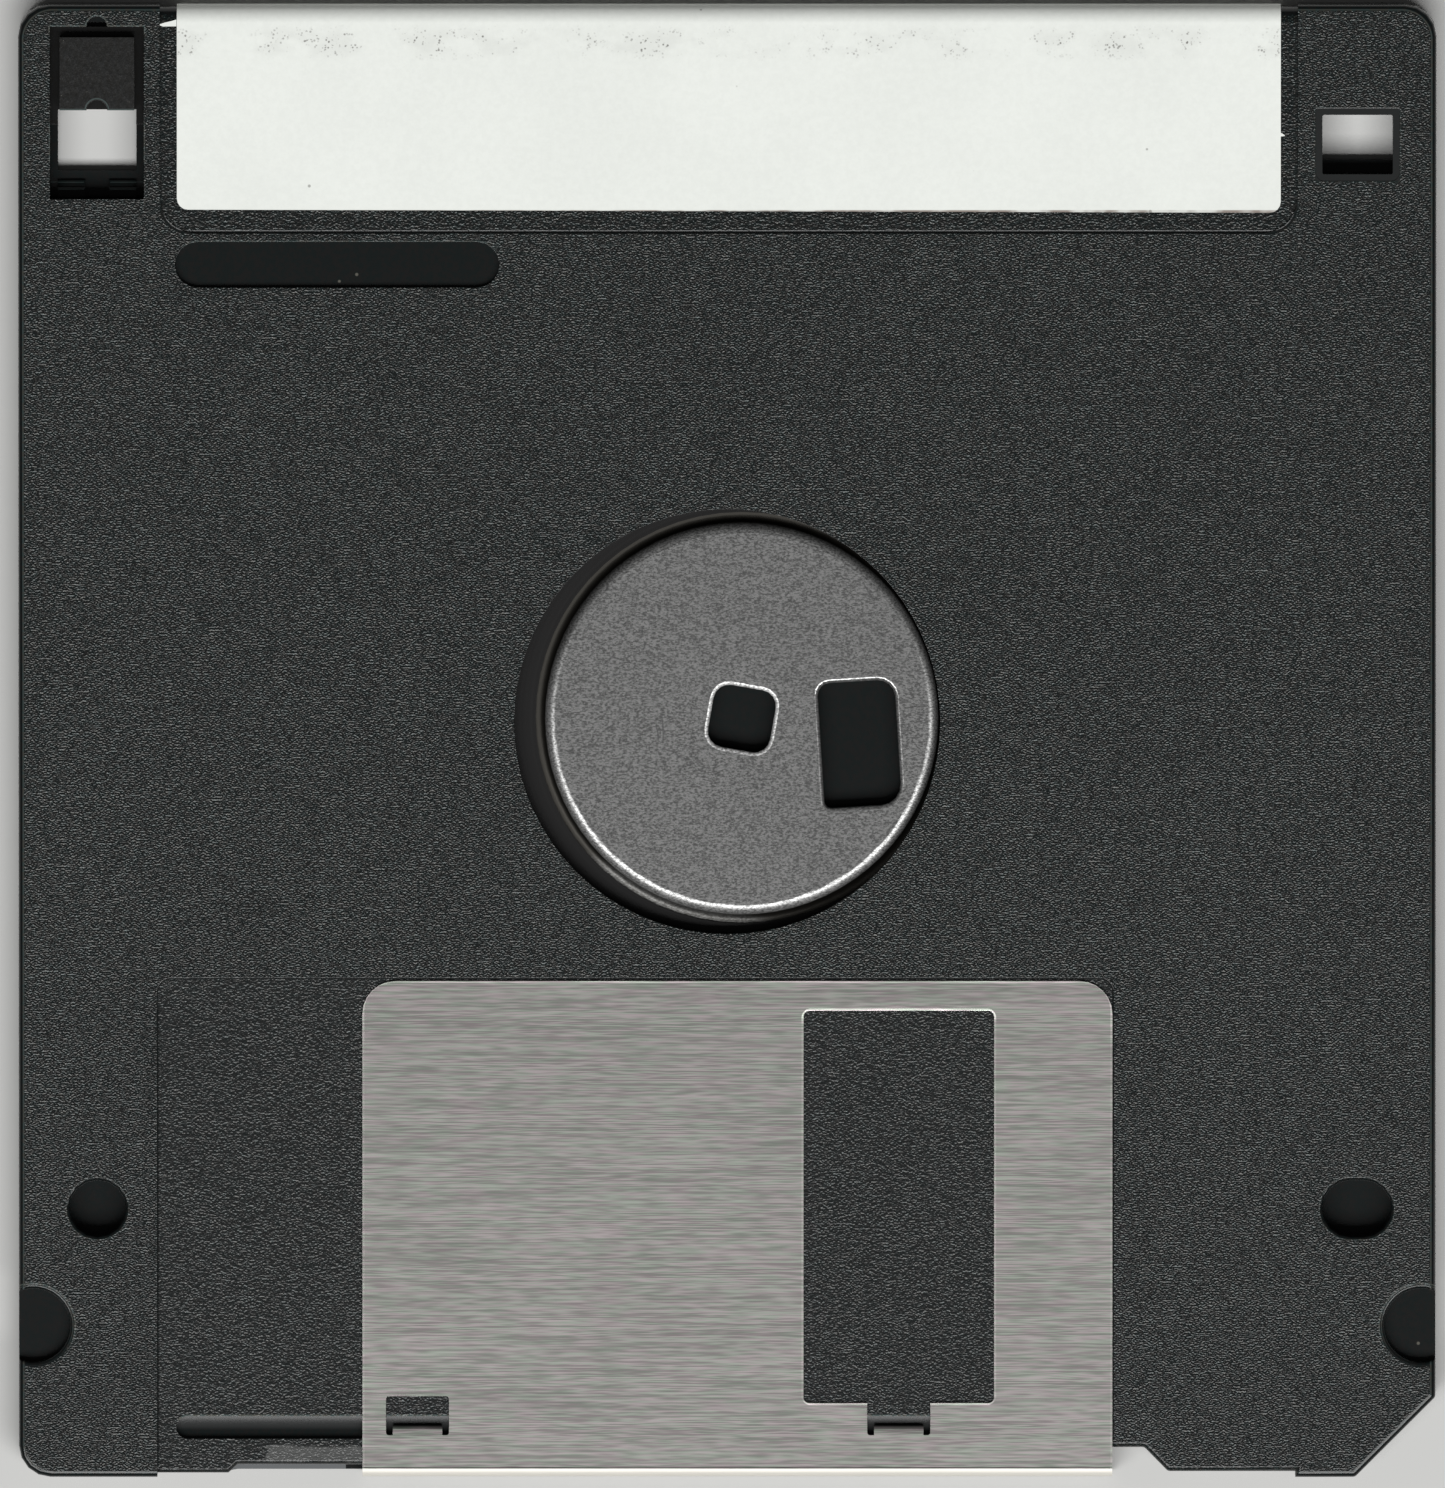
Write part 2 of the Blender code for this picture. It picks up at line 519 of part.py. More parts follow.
def add_cavities(bm, low, high):
    """The film chamber, the slide's channel and the four corner hollows."""
    side = HALF_WIDTH - SIDE_WALL
    top = TOP - CORNER_WALL
    end = END + HUB_SIDE_TRACK + SIDE_WALL
    tab_right = TAB_PLATE_HALF + TAB_SLIDE_GAP - SENSOR_HOLE_X
    tab_left = -TAB_PLATE_HALF - TAB_SLIDE_GAP - SENSOR_HOLE_X
    cut = HALF_WIDTH - CUT_CORNER
    add_prism(bm, circle(0.0, HOLE_Y, CHAMBER_RADIUS, HIDDEN_STEPS), low, high)
    add_prism(bm, [
        (tab_left, TAB_ROOM_LOW),
        (tab_right, TAB_ROOM_LOW),
        (tab_right, TAB_ROOM_TOP),
        (tab_left, TAB_ROOM_TOP),
    ], low, high)
    add_prism(bm, corner_hollow(math.pi - SIDE_HOLLOW_ANGLE, math.pi - LABEL_END_HOLLOW_ANGLE, [
        (-side, TAB_ROOM_LOW - CHAMBER_RIB),
        (tab_right + CHAMBER_RIB, TAB_ROOM_LOW - CHAMBER_RIB),
        (tab_right + CHAMBER_RIB, top),
    ]), low, high)
    add_prism(bm, corner_hollow(SIDE_HOLLOW_ANGLE, LABEL_END_HOLLOW_ANGLE, [
        (side, top - CORNER_WALL),
        (side - CORNER_WALL, top),
    ]), low, high)
    add_prism(bm, corner_hollow(math.pi + SIDE_HOLLOW_ANGLE, SHUTTER_END_HOLLOW_LEFT, [
        (-side, end + CORNER_WALL),
        (CORNER_WALL - side, end),
        (SHUTTER_LEFT + HOOK_FROM_SIDE + SLOT_MARGIN, end),
    ]), low, high)
    add_prism(bm, corner_hollow(2 * math.pi - SIDE_HOLLOW_ANGLE, SHUTTER_END_HOLLOW_RIGHT, [
        (side, END + CUT_CORNER + SIDE_WALL / 2),
        (cut - SIDE_WALL / 2, END + END_STEP + SIDE_WALL),
        (LEVER_NOTCH_RIGHT + LEVER_SLOPE, END + END_STEP + SIDE_WALL),
        (LEVER_NOTCH_RIGHT, END + LEVER_NOTCH + SIDE_WALL),
    ]), low, high)


def pin_places():
    """Where the weld pins stand."""
    side_x = HALF_WIDTH - SIDE_PIN_FROM_SIDE
    side_y = LOCATING_Y + SIDE_PIN_ABOVE_LOCATING
    return [
        (PIN_FROM_SIDE - HALF_WIDTH, TOP - PIN_FROM_TOP),
        (HALF_WIDTH - PIN_FROM_SIDE, TOP - PIN_FROM_TOP),
        (-side_x, side_y),
        (side_x, side_y),
        (HALF_WIDTH - END_PIN_FROM_SIDE, END + END_PIN_FROM_END),
    ]


def add_label_recess(bm):
    """The shallow step that the label lies in, round the label end of the case."""
    half = LABEL_WIDTH / 2 + LABEL_SIDE_MARGIN
    clear = SIDE_WALL
    core = u_profile(
        TOP - LABEL_RECESS,
        LABEL_RECESS,
        CASE_THICKNESS - LABEL_RECESS,
        LABEL_FRONT_Y - LABEL_FRONT_MARGIN,
        TOP - LABEL_BACK - LABEL_BACK_MARGIN,
        LABEL_BEND,
        0.0,
    )
    inner = core[: len(core) // 2]
    outer = [
        (TOP - LABEL_BACK - LABEL_BACK_MARGIN, CASE_THICKNESS + clear),
        (TOP + clear, CASE_THICKNESS + clear),
        (TOP + clear, -clear),
        (LABEL_FRONT_Y - LABEL_FRONT_MARGIN, -clear),
    ]
    add_beam(bm, inner + outer, LABEL_X - half, LABEL_X + half)

    def at_corner(a, b):
        upright = abs(a.y - b.y) < SEAT_GAP and abs(a.x - b.x) < SEAT_GAP
        return upright and max(a.y, b.y) < TOP - LABEL_BACK

    round_edges(bm, at_corner, LABEL_RECESS_CORNER, 5)


def add_spring_slot(bm):
    """The slot through the lower wall for the shutter's hook and the spring's end."""
    left = SHUTTER_LEFT + HOOK_FROM_SIDE - SHUTTER_TRAVEL - SLOT_MARGIN
    right = SHUTTER_LEFT + HOOK_FROM_SIDE + SLOT_MARGIN
    inner = END + HUB_SIDE_TRACK + SIDE_WALL + SEAT_GAP
    outline = [(left, END - SIDE_WALL), (right, END - SIDE_WALL), (right, inner), (left, inner)]
    add_prism(bm, outline, PARTING - SLOT_HEIGHT / 2, PARTING + SLOT_HEIGHT / 2)


def add_head_window(bm, low, high):
    """The opening for the heads."""
    corners = [HEAD_WINDOW_CORNER] * 4
    window = rounded_box(0.0, HEAD_WINDOW_Y, HEAD_WINDOW_WIDTH, HEAD_WINDOW_LENGTH, corners)
    add_prism(bm, window, low, high)


def sensor_hole(grow, ledge=0.0):
    """The outline of the hole that tells the drive the disk's density, above a ledge of a width."""
    return rounded_box(
        SENSOR_HOLE_X,
        TOP - SENSOR_HOLE_FROM_TOP + ledge / 2,
        SENSOR_HOLE_WIDTH,
        SENSOR_HOLE_HEIGHT - ledge,
        [SENSOR_HOLE_CORNER] * 4,
        grow=grow,
    )


def make_hub_side_shell(made_of):
    """The half of the case that the hub shows through."""
    parting = PARTING + PARTING_GAP / 2
    face = CASE_THICKNESS
    recess = face - SHUTTER_RECESS
    beyond = face + SIDE_WALL
    below = PARTING - HUB_SIDE_WALL
    shell = half_shell("hub_side_shell", face, parting, HUB_SIDE_TRACK, made_of)

    bm = bmesh.new()
    add_cavities(bm, below, CEILING)
    combine(shell, "hub_side_cavities", bm, "DIFFERENCE")

    bm = bmesh.new()
    sunk = CEILING + HUB_SIDE_WALL / 4
    boss_end = LABEL_SIDE_WALL + SEAT_GAP
    boss = LOCATING_RADIUS + LOCATING_WALL
    half = LOCATING_X
    add_prism(bm, circle(-half, LOCATING_Y, boss, 24), boss_end, sunk)
    long_boss = 2 * boss + LOCATING_OBROUND
    add_prism(bm, capsule(half, LOCATING_Y, long_boss, 2 * boss), boss_end, sunk)
    add_prism(bm, sensor_hole(SENSOR_HOLE_WALL), parting, sunk)
    for side in (-1, 1):
        x = side * POCKET_X
        wall = side * (HALF_WIDTH - SIDE_WALL / 2)
        round_wall = POCKET_RADIUS + POCKET_WALL
        bow = arc(abs(x), POCKET_Y, round_wall, math.pi / 2, 3 * math.pi / 2)
        inward = [(side * px, py) for px, py in bow]
        back = [(wall, POCKET_Y - round_wall), (wall, POCKET_Y + round_wall)]
        add_prism(bm, inward + back, parting, sunk)
    for x, y in pin_places():
        add_prism(bm, circle(x, y, PIN_BOSS, 16), parting, sunk)
    combine(shell, "hub_side_bosses", bm, "UNION")

    bm = bmesh.new()
    rim_low = CEILING - HUB_RIM_DEPTH
    add_prism(bm, circle(0.0, HOLE_Y, HUB_HOLE_RADIUS + HUB_RIM_WIDTH, RIM_STEPS), rim_low, sunk)
    combine(shell, "hub_rim", bm, "UNION")

    bm = bmesh.new()
    add_prism(bm, circle(0.0, HOLE_Y, HUB_HOLE_RADIUS, RIM_STEPS), below, beyond)
    add_head_window(bm, below, beyond)
    for x, stretch in ((-half, 0.0), (half, LOCATING_OBROUND)):
        long = 2 * LOCATING_RADIUS + stretch
        add_sections(bm, flared(
            lambda grow, x=x, long=long: capsule(x, LOCATING_Y, long, 2 * LOCATING_RADIUS, grow),
            LABEL_SIDE_WALL / 2, face, HOLE_ROUND,
        ))
    for side in (-1, 1):
        x = side * POCKET_X
        add_sections(bm, flared(
            lambda grow, x=x: circle(x, POCKET_Y, POCKET_RADIUS + grow, 30),
            face - POCKET_DEPTH, face, HOLE_ROUND,
        ))
    add_sections(bm, [
        (sensor_hole(0.0), below),
        (sensor_hole(0.0), face - SENSOR_RING_DEPTH),
        (sensor_hole(SENSOR_RING), face - SENSOR_RING_DEPTH / 2),
        (sensor_hole(SENSOR_RING), beyond),
    ])
    add_prism(bm, capsule(PILL_X, TOP - PILL_FROM_TOP, PILL_LENGTH, PILL_WIDTH), face - PILL_DEPTH, beyond)
    groove_x = (GROOVE_LEFT + GROOVE_RIGHT) / 2
    groove = capsule(groove_x, GROOVE_Y, GROOVE_RIGHT - GROOVE_LEFT, GROOVE_WIDTH)
    add_prism(bm, groove, recess - GROOVE_DEPTH, beyond)
    window_half = TAB_WINDOW_WIDTH / 2
    notch = arc(-SENSOR_HOLE_X, WINDOW_TOP_Y, TAB_NOTCH, 0.0, math.pi)
    add_prism(bm, [
        (-SENSOR_HOLE_X - window_half, WINDOW_END_Y),
        (-SENSOR_HOLE_X + window_half, WINDOW_END_Y),
        (-SENSOR_HOLE_X + window_half, WINDOW_TOP_Y),
        *notch,
        (-SENSOR_HOLE_X - window_half, WINDOW_TOP_Y),
    ], below, beyond)
    for x, y in pin_places():
        socket_top = PARTING + PIN_LENGTH + PIN_GAP
        add_prism(bm, circle(x, y, PIN_RADIUS + PIN_GAP, 16), below, socket_top)
    combine(shell, "hub_side_holes", bm, "DIFFERENCE")

    bm = bmesh.new()
    add_label_recess(bm)
    combine(shell, "hub_side_label_recess", bm, "DIFFERENCE")

    bm = bmesh.new()
    add_spring_slot(bm)
    combine(shell, "hub_side_spring_slot", bm, "DIFFERENCE")
    return shell


def flared(outline, floor, face, radius):
    """The sections of a cutter for a hole whose rim is rounded where it meets a face."""
    sections = [(outline(0.0), floor)]
    for y, z in arc(radius, 0.0, radius, math.pi, math.pi / 2, math.radians(30)):
        sections.append((outline(y), face - radius + z))
    return [*sections, (outline(radius), face + radius)]


def make_label_side_shell(made_of):
    """The half of the case that carries the front of the label, under the object here."""
    parting = PARTING - PARTING_GAP / 2
    above = PARTING + LABEL_SIDE_WALL
    floor = LABEL_SIDE_WALL
    under = -SIDE_WALL
    shell = half_shell("label_side_shell", 0.0, parting, LABEL_SIDE_TRACK, made_of)

    bm = bmesh.new()
    add_cavities(bm, floor, above)
    combine(shell, "label_side_cavities", bm, "DIFFERENCE")

    bm = bmesh.new()
    sunk = floor - LABEL_SIDE_WALL / 4
    add_prism(bm, sensor_hole(SENSOR_HOLE_WALL), sunk, parting)
    shoulder = parting - PIN_GAP
    tip = PARTING + PIN_LENGTH
    post = [(PIN_BOSS, sunk), (PIN_BOSS, shoulder), (PIN_RADIUS, shoulder), (PIN_RADIUS, tip)]
    for x, y in pin_places():
        add_sections(bm, [(circle(x, y, radius, 16), z) for radius, z in post])
    hole_low = TOP - SENSE_HOLE_FROM_TOP - SENSE_HOLE_LENGTH
    ledge = TAB_LOW_Y - TAB_TRAVEL - TAB_STOP_GAP
    inner = LEDGE_NOTCH / 2
    outer = SENSE_HOLE_WIDTH / 2
    low = TAB_ROOM_LOW - CHAMBER_RIB / 2
    for side in (-1, 1):
        xs = (-SENSOR_HOLE_X + side * inner, -SENSOR_HOLE_X + side * outer)
        steps = [
            (low, sunk),
            (ledge, sunk),
            (ledge, floor + LEDGE_STEP),
            (ledge - LEDGE_TREAD, floor + LEDGE_STEP),
            (ledge - LEDGE_TREAD, parting - LEDGE_STEP / 2),
            (low, parting - LEDGE_STEP / 2),
        ]
        add_beam(bm, steps, min(xs), max(xs))
    combine(shell, "label_side_bosses", bm, "UNION")

    bm = bmesh.new()
    add_head_window(bm, under, above)
    narrowed = sensor_hole(0.0, SENSOR_HOLE_LEDGE)
    full = sensor_hole(0.0)
    add_sections(bm, [(narrowed, under), (narrowed, floor), (full, floor + SEAT_GAP), (full, above)])
    y = hole_low + SENSE_HOLE_LENGTH / 2
    add_prism(bm, rounded_box(
        -SENSOR_HOLE_X, y, SENSE_HOLE_WIDTH, SENSE_HOLE_LENGTH, [SENSOR_HOLE_CORNER] * 4,
    ), under, above)
    pocket_length = LIFTER_LENGTH + 2 * LIFTER_MARGIN
    pocket_width = LIFTER_WIDTH + 2 * LIFTER_MARGIN
    pocket = rounded_box(LIFTER_X, LIFTER_Y, pocket_width, pocket_length, [LIFTER_MARGIN] * 4)
    add_prism(bm, pocket, floor - LIFTER_POCKET, above)
    combine(shell, "label_side_holes", bm, "DIFFERENCE")

    bm = bmesh.new()
    add_label_recess(bm)
    combine(shell, "label_side_label_recess", bm, "DIFFERENCE")

    bm = bmesh.new()
    add_spring_slot(bm)
    combine(shell, "label_side_spring_slot", bm, "DIFFERENCE")
    return shell


def make_shutter(made_of):
    """The folded metal shutter. Its origin is on the fold, at the middle of its width."""
    middle = CASE_THICKNESS / 2
    low = SHUTTER_BELOW - middle
    high = middle - SHUTTER_BELOW
    half = SHUTTER_HALF
    end = SHUTTER_LENGTH
    beyond = 2 * middle

    bm = bmesh.new()
    profile = u_profile(0.0, low, high, end, end, SHUTTER_FOLD, SHUTTER_SHEET)
    add_beam(bm, profile, -half, half)

    def leaf_corner(a, b):
        upright = abs(a.z - b.z) > SHUTTER_SHEET / 2 and abs(a.x - b.x) < SHUTTER_SHEET / 2
        return upright and min(a.y, b.y) > end - SHUTTER_SHEET

    round_edges(bm, leaf_corner, SHUTTER_CORNER, 6)
    shutter = part("shutter", bm, made_of, location=(SHUTTER_X, SHUTTER_FOLD_Y, middle))

    bm = bmesh.new()
    window_x = SHUTTER_OPENING - SHUTTER_X
    window_y = HEAD_WINDOW_Y - SHUTTER_FOLD_Y
    corner = SHUTTER_WINDOW_CORNER
    window = rounded_box(window_x, window_y, SHUTTER_WINDOW_WIDTH, SHUTTER_WINDOW_LENGTH, [corner] * 4)
    add_prism(bm, window, -beyond, beyond)
    combine(shutter, "shutter_window", bm, "DIFFERENCE")

    bm = bmesh.new()
    lug_places = (CUTOUT_FROM_SIDE - half, window_x)
    for lug_x in lug_places:
        cut = rounded_box(
            lug_x, CUTOUT_FROM_FOLD + CUTOUT_LENGTH / 2, CUTOUT_WIDTH, CUTOUT_LENGTH, [corner / 2] * 4
        )
        add_prism(bm, cut, 0.0, beyond)
    hook_x = HOOK_FROM_SIDE - half
    hole = [(-HOOK_GAP, -HOOK_HEIGHT / 2), (SHUTTER_FOLD, -HOOK_HEIGHT / 2)]
    hole += [(y, -z) for y, z in reversed(hole)]
    add_beam(bm, hole, hook_x, hook_x + HOOK_REACH)
    combine(shutter, "shutter_cutouts", bm, "DIFFERENCE")

    bm = bmesh.new()
    skin = SHUTTER_SHEET / 20
    top = high - skin
    inner = high - SHUTTER_SHEET + skin
    tip = high - SHUTTER_SHEET - SHUTTER_BELOW - LUG_DEPTH
    root = CUTOUT_FROM_FOLD - LUG_ROOT
    knee = GROOVE_Y - SHUTTER_FOLD_Y - SHUTTER_SHEET / 2
    outer_bend = arc(knee, top - LUG_BEND, LUG_BEND, math.pi / 2, 0.0)
    far = knee + LUG_BEND
    near = far - SHUTTER_SHEET
    lug = [(root, top), *outer_bend, (far, tip), (near, tip), (near, inner), (root, inner)]
    for lug_x in lug_places:
        add_beam(bm, lug, lug_x - LUG_WIDTH / 2, lug_x + LUG_WIDTH / 2)
    reach = SHUTTER_SHEET + HOOK_REACH
    hook = [(skin, -HOOK_HEIGHT / 2 - skin), (reach, -HOOK_HEIGHT / 2 - skin)]
    hook += [(y, -z) for y, z in reversed(hook)]
    add_beam(bm, hook, hook_x - SHUTTER_SHEET, hook_x + skin)
    combine(shutter, "shutter_lugs", bm, "UNION")
    return shutter


def make_hub(made_of, axis):
    """The stamped hub: a raised face, a rolled edge and the flange that the film is bonded on."""
    under = HUB_FACE - HUB_SHEET
    wall = HUB_RADIUS - HUB_SHEET
    roll = arc(HUB_RADIUS - HUB_ROLL, HUB_FACE - HUB_ROLL, HUB_ROLL, math.pi / 2, 0.0, ROLL_STEP)
    bend = arc(HUB_RADIUS + HUB_BEND, FLANGE_HIGH + HUB_BEND, HUB_BEND, math.pi, 3 * math.pi / 2)
    flange = [(HUB_FLANGE_RADIUS, FLANGE_HIGH), (HUB_FLANGE_RADIUS, FLANGE_LOW)]
    profile = [(0.0, HUB_FACE), *roll, *bend, *flange, (wall, FLANGE_LOW), (wall, under), (0.0, under)]
    bm = bmesh.new()
    add_turned(bm, profile, RIM_STEPS)
    hub = part("drive_hub", bm, made_of, parent=axis)

    bm = bmesh.new()
    corners = [DRIVE_HOLE_CORNER] * 4
    add_sections(bm, flared(
        lambda grow: rounded_box(
            0.0, 0.0, DRIVE_HOLE_SIDE, DRIVE_HOLE_SIDE, corners, DRIVE_HOLE_TURN, grow
        ),
        under - HUB_SHEET, HUB_FACE, DRIVE_RIM,
    ))
    add_sections(bm, flared(
        lambda grow: rounded_box(
            DRIVE_SLOT_OUT, -DRIVE_SLOT_ASIDE, DRIVE_SLOT_WIDTH, DRIVE_SLOT_LENGTH,
            DRIVE_SLOT_CORNERS, DRIVE_SLOT_TURN, grow,
        ),
        under - HUB_SHEET, HUB_FACE, DRIVE_RIM,
    ))
    combine(hub, "drive_holes", bm, "DIFFERENCE")
    return hub


def make_ring(name, inner, outer, low, high, steps, made_of, parent=None, location=(0, 0, 0)):
    """A flat ring."""
    bm = bmesh.new()
    add_turned(bm, [(inner, low), (outer, low), (outer, high), (inner, high)], steps)
    return part(name, bm, made_of, parent, location)


def make_liner(name, low, inner, made_of):
    """A liner ring with the gap that leaves the heads room."""
    outer = CHAMBER_RADIUS - LINER_MARGIN
    high = low + LINER_THICKNESS
    liner = make_ring(name, inner, outer, low, high, HIDDEN_STEPS, made_of, location=(0, HOLE_Y, 0))
    bm = bmesh.new()
    half = HEAD_WINDOW_WIDTH / 2 + LINER_THICKNESS
    near = LINER_THICKNESS - HEAD_WINDOW_NEAR
    gap = [(-half, -CHAMBER_RADIUS), (half, -CHAMBER_RADIUS), (half, near), (-half, near)]
    add_prism(bm, gap, low - LINER_THICKNESS, high + LINER_THICKNESS)
    combine(liner, name + "_gap", bm, "DIFFERENCE")
    return liner


def make_lifter(made_of):
    """The bent leaf that presses the label-side liner to the film."""
    low = LABEL_SIDE_WALL - LIFTER_POCKET + SEAT_GAP
    half = LIFTER_LENGTH / 2
    lower = [(-half, low + LIFTER_BEND), (0.0, low), (half, low + LIFTER_BEND)]
    upper = [(y, z + LIFTER_THICKNESS) for y, z in reversed(lower)]
    bm = bmesh.new()
    add_beam(bm, lower + upper, -LIFTER_WIDTH / 2, LIFTER_WIDTH / 2)
    return part("liner_lifter", bm, made_of, location=(LIFTER_X, LIFTER_Y, 0))


def make_label(made_of):
    """The paper label, folded over the label end of the case and stuck on a little askew."""
    skin = LABEL_RECESS - LABEL_SHEET - SEAT_GAP
    profile = u_profile(
        TOP - skin,
        skin,
        CASE_THICKNESS - skin,
        LABEL_FRONT_Y,
        TOP - LABEL_BACK,
        LABEL_BEND + LABEL_SHEET,
        LABEL_SHEET,
    )
    half = LABEL_WIDTH / 2
    bm = bmesh.new()
    add_beam(bm, profile, LABEL_X - half, LABEL_X + half)
    for vert in bm.verts:
        if vert.co.y < TOP - LABEL_BACK + SEAT_GAP:
            vert.co.y -= LABEL_SKEW * (vert.co.x - LABEL_X) / half

    def flap_corner(a, b):
        across = abs(a.z - b.z) > LABEL_SHEET / 2
        return across and max(a.y, b.y) < TOP - LABEL_BACK + 2 * LABEL_SKEW

    round_edges(bm, flap_corner, LABEL_CORNER, 4)
    return part("label", bm, made_of)


def make_tab(made_of):
    """The write-protect slide. Its origin is at the middle of the part that is pushed."""
    y = (TAB_TOP_Y + TAB_LOW_Y) / 2
    plate_low = LABEL_SIDE_WALL + SEAT_GAP
    plate_high = plate_low + TAB_PLATE_THICKNESS
    half = TAB_LENGTH / 2
    plate_top = WINDOW_TOP_Y - TAB_PLATE_TOP - y
    inner = SENSE_HOLE_WIDTH / 2
    bm = bmesh.new()
    add_prism(bm, [
        (-TAB_PLATE_HALF, -half - TAB_ARM),
        (-inner, -half - TAB_ARM),
        (-inner, -half),
        (inner, -half),
        (inner, -half - TAB_ARM),
        (TAB_PLATE_HALF, -half - TAB_ARM),
        (TAB_PLATE_HALF, plate_top),
        (-TAB_PLATE_HALF, plate_top),
    ], plate_low, plate_high)
    tab = part("write_protect_tab", bm, made_of, location=(-SENSOR_HOLE_X, y, 0))

    bm = bmesh.new()
    side = TAB_WIDTH / 2
    skin = TAB_SLIDE_GAP / 10
    notch = arc(0.0, skin - half, TAB_NOTCH, math.pi, 0.0)
    block = [(-side, skin - half), *notch, (side, skin - half), (side, half), (-side, half)]
    add_prism(bm, block, plate_high - TAB_SLIDE_GAP, CASE_THICKNESS - TAB_BELOW)
    combine(tab, "tab_block", bm, "UNION")
    return tab


def tangent(point, centre, radius, side):
    """The angle at which a line from a point touches a circle, on the given side of it."""
    away = Vector(point) - Vector(centre)
    return math.atan2(away.y, away.x) + side * math.acos(radius / away.length)


def make_spring(made_of):
    """The torsion spring in the corner: one leg in the case, the other behind the shutter's hook."""
    seat_x = -(HALF_WIDTH - SIDE_WALL) + SPRING_WIRE / 2 + SPRING_SEAT_GAP
    seat = Vector((seat_x, END + SPRING_SEAT_FROM_END))
    hook_x = SHUTTER_LEFT + HOOK_FROM_SIDE - SHUTTER_SHEET - SPRING_WIRE / 2 - SPRING_SEAT_GAP
    hook = Vector((hook_x, SHUTTER_FOLD_Y + SHUTTER_SHEET + HOOK_REACH / 2))
    span = hook - seat
    coil = (seat + hook) / 2 + Vector((-span.y, span.x)).normalized() * SPRING_RISE
    first = tangent(seat, coil, SPRING_COIL_RADIUS, 1)
    last = tangent(hook, coil, SPRING_COIL_RADIUS, -1) + 2 * math.pi * SPRING_TURNS
    low = LABEL_SIDE_WALL + SPRING_WIRE / 2 + SPRING_SEAT_GAP
    steps = round(SPRING_STEPS * (last - first) / (2 * math.pi))
    turns = arc(coil.x, coil.y, SPRING_COIL_RADIUS, first, last, (last - first) / steps)
    points = [(seat.x, seat.y, low)]
    for i, (x, y) in enumerate(turns):
        points.append((x, y, low + SPRING_PITCH * i / SPRING_STEPS))
    points.append((hook.x, hook.y, PARTING))

    curve = bpy.data.curves.new("shutter_spring", "CURVE")
    curve.dimensions = "3D"
    curve.bevel_depth = SPRING_WIRE / 2
    curve.bevel_resolution = 2
    curve.use_fill_caps = True
    wire = curve.splines.new("POLY")
    wire.points.add(len(points) - 1)
    for point, place in zip(wire.points, points):
        point.co = (*place, 1.0)
    curve.materials.append(made_of)
    spring = bpy.data.objects.new("shutter_spring", curve)
    bpy.context.collection.objects.link(spring)
    return spring


def main():
    """Clears the scene and models the cartridge."""
    for obj in list(bpy.data.objects):
        bpy.data.objects.remove(obj)

    case_plastic = material("black_textured_plastic", (0.028, 0.031, 0.031), 0.55)
    slide_plastic = material("black_slide_plastic", (0.022, 0.023, 0.023), 0.6)
    shutter_steel = material("brushed_shutter_steel", (0.56, 0.55, 0.52), 0.35, 1.0)
    hub_steel = material("matte_hub_steel", (0.42, 0.42, 0.41), 0.5, 1.0)
    spring_steel = material("spring_wire", (0.45, 0.45, 0.46), 0.3, 1.0)
    label_paper = material("label_paper", (0.82, 0.83, 0.78), 0.7)
    film_coating = material("brown_film_coating", (0.05, 0.032, 0.024), 0.25)
    liner_cloth = material("white_liner_cloth", (0.75, 0.75, 0.73), 0.95)
    adhesive = material("clear_adhesive", (0.55, 0.5, 0.38), 0.4)
    lifter_film = material("lifter_film", (0.6, 0.62, 0.6), 0.4)

    make_label_side_shell(case_plastic)
    make_hub_side_shell(case_plastic)
    make_shutter(shutter_steel)
    make_tab(slide_plastic)
    make_label(label_paper)
    make_spring(spring_steel)
    make_lifter(lifter_film)
    make_liner("label_side_liner", LABEL_SIDE_WALL + SEAT_GAP, HUB_RADIUS, liner_cloth)
    make_liner(
        "hub_side_liner",
        CEILING - SEAT_GAP - LINER_THICKNESS,
        HUB_HOLE_RADIUS + HUB_RIM_WIDTH + LINER_HUB_MARGIN,
        liner_cloth,
    )

    axis = bpy.data.objects.new("hub_axis", None)
    bpy.context.collection.objects.link(axis)
    axis.location = (HUB_X, HUB_Y, 0)
    make_hub(hub_steel, axis)
    make_ring(
        "magnetic_film", FILM_HOLE_RADIUS, FILM_RADIUS, FILM_LOW, FILM_HIGH, HIDDEN_STEPS, film_coating, axis
    )
    make_ring(
        "hub_adhesive_ring",
        ADHESIVE_RADIUS - ADHESIVE_WIDTH,
        ADHESIVE_RADIUS,
        ADHESIVE_LOW,
        ADHESIVE_LOW + ADHESIVE_THICKNESS,
        HIDDEN_STEPS,
        adhesive,
        axis,
    )


main()
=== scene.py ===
"""The looks of a 3.5-inch floppy disk cartridge, laid out as a Blender add-on."""

import math

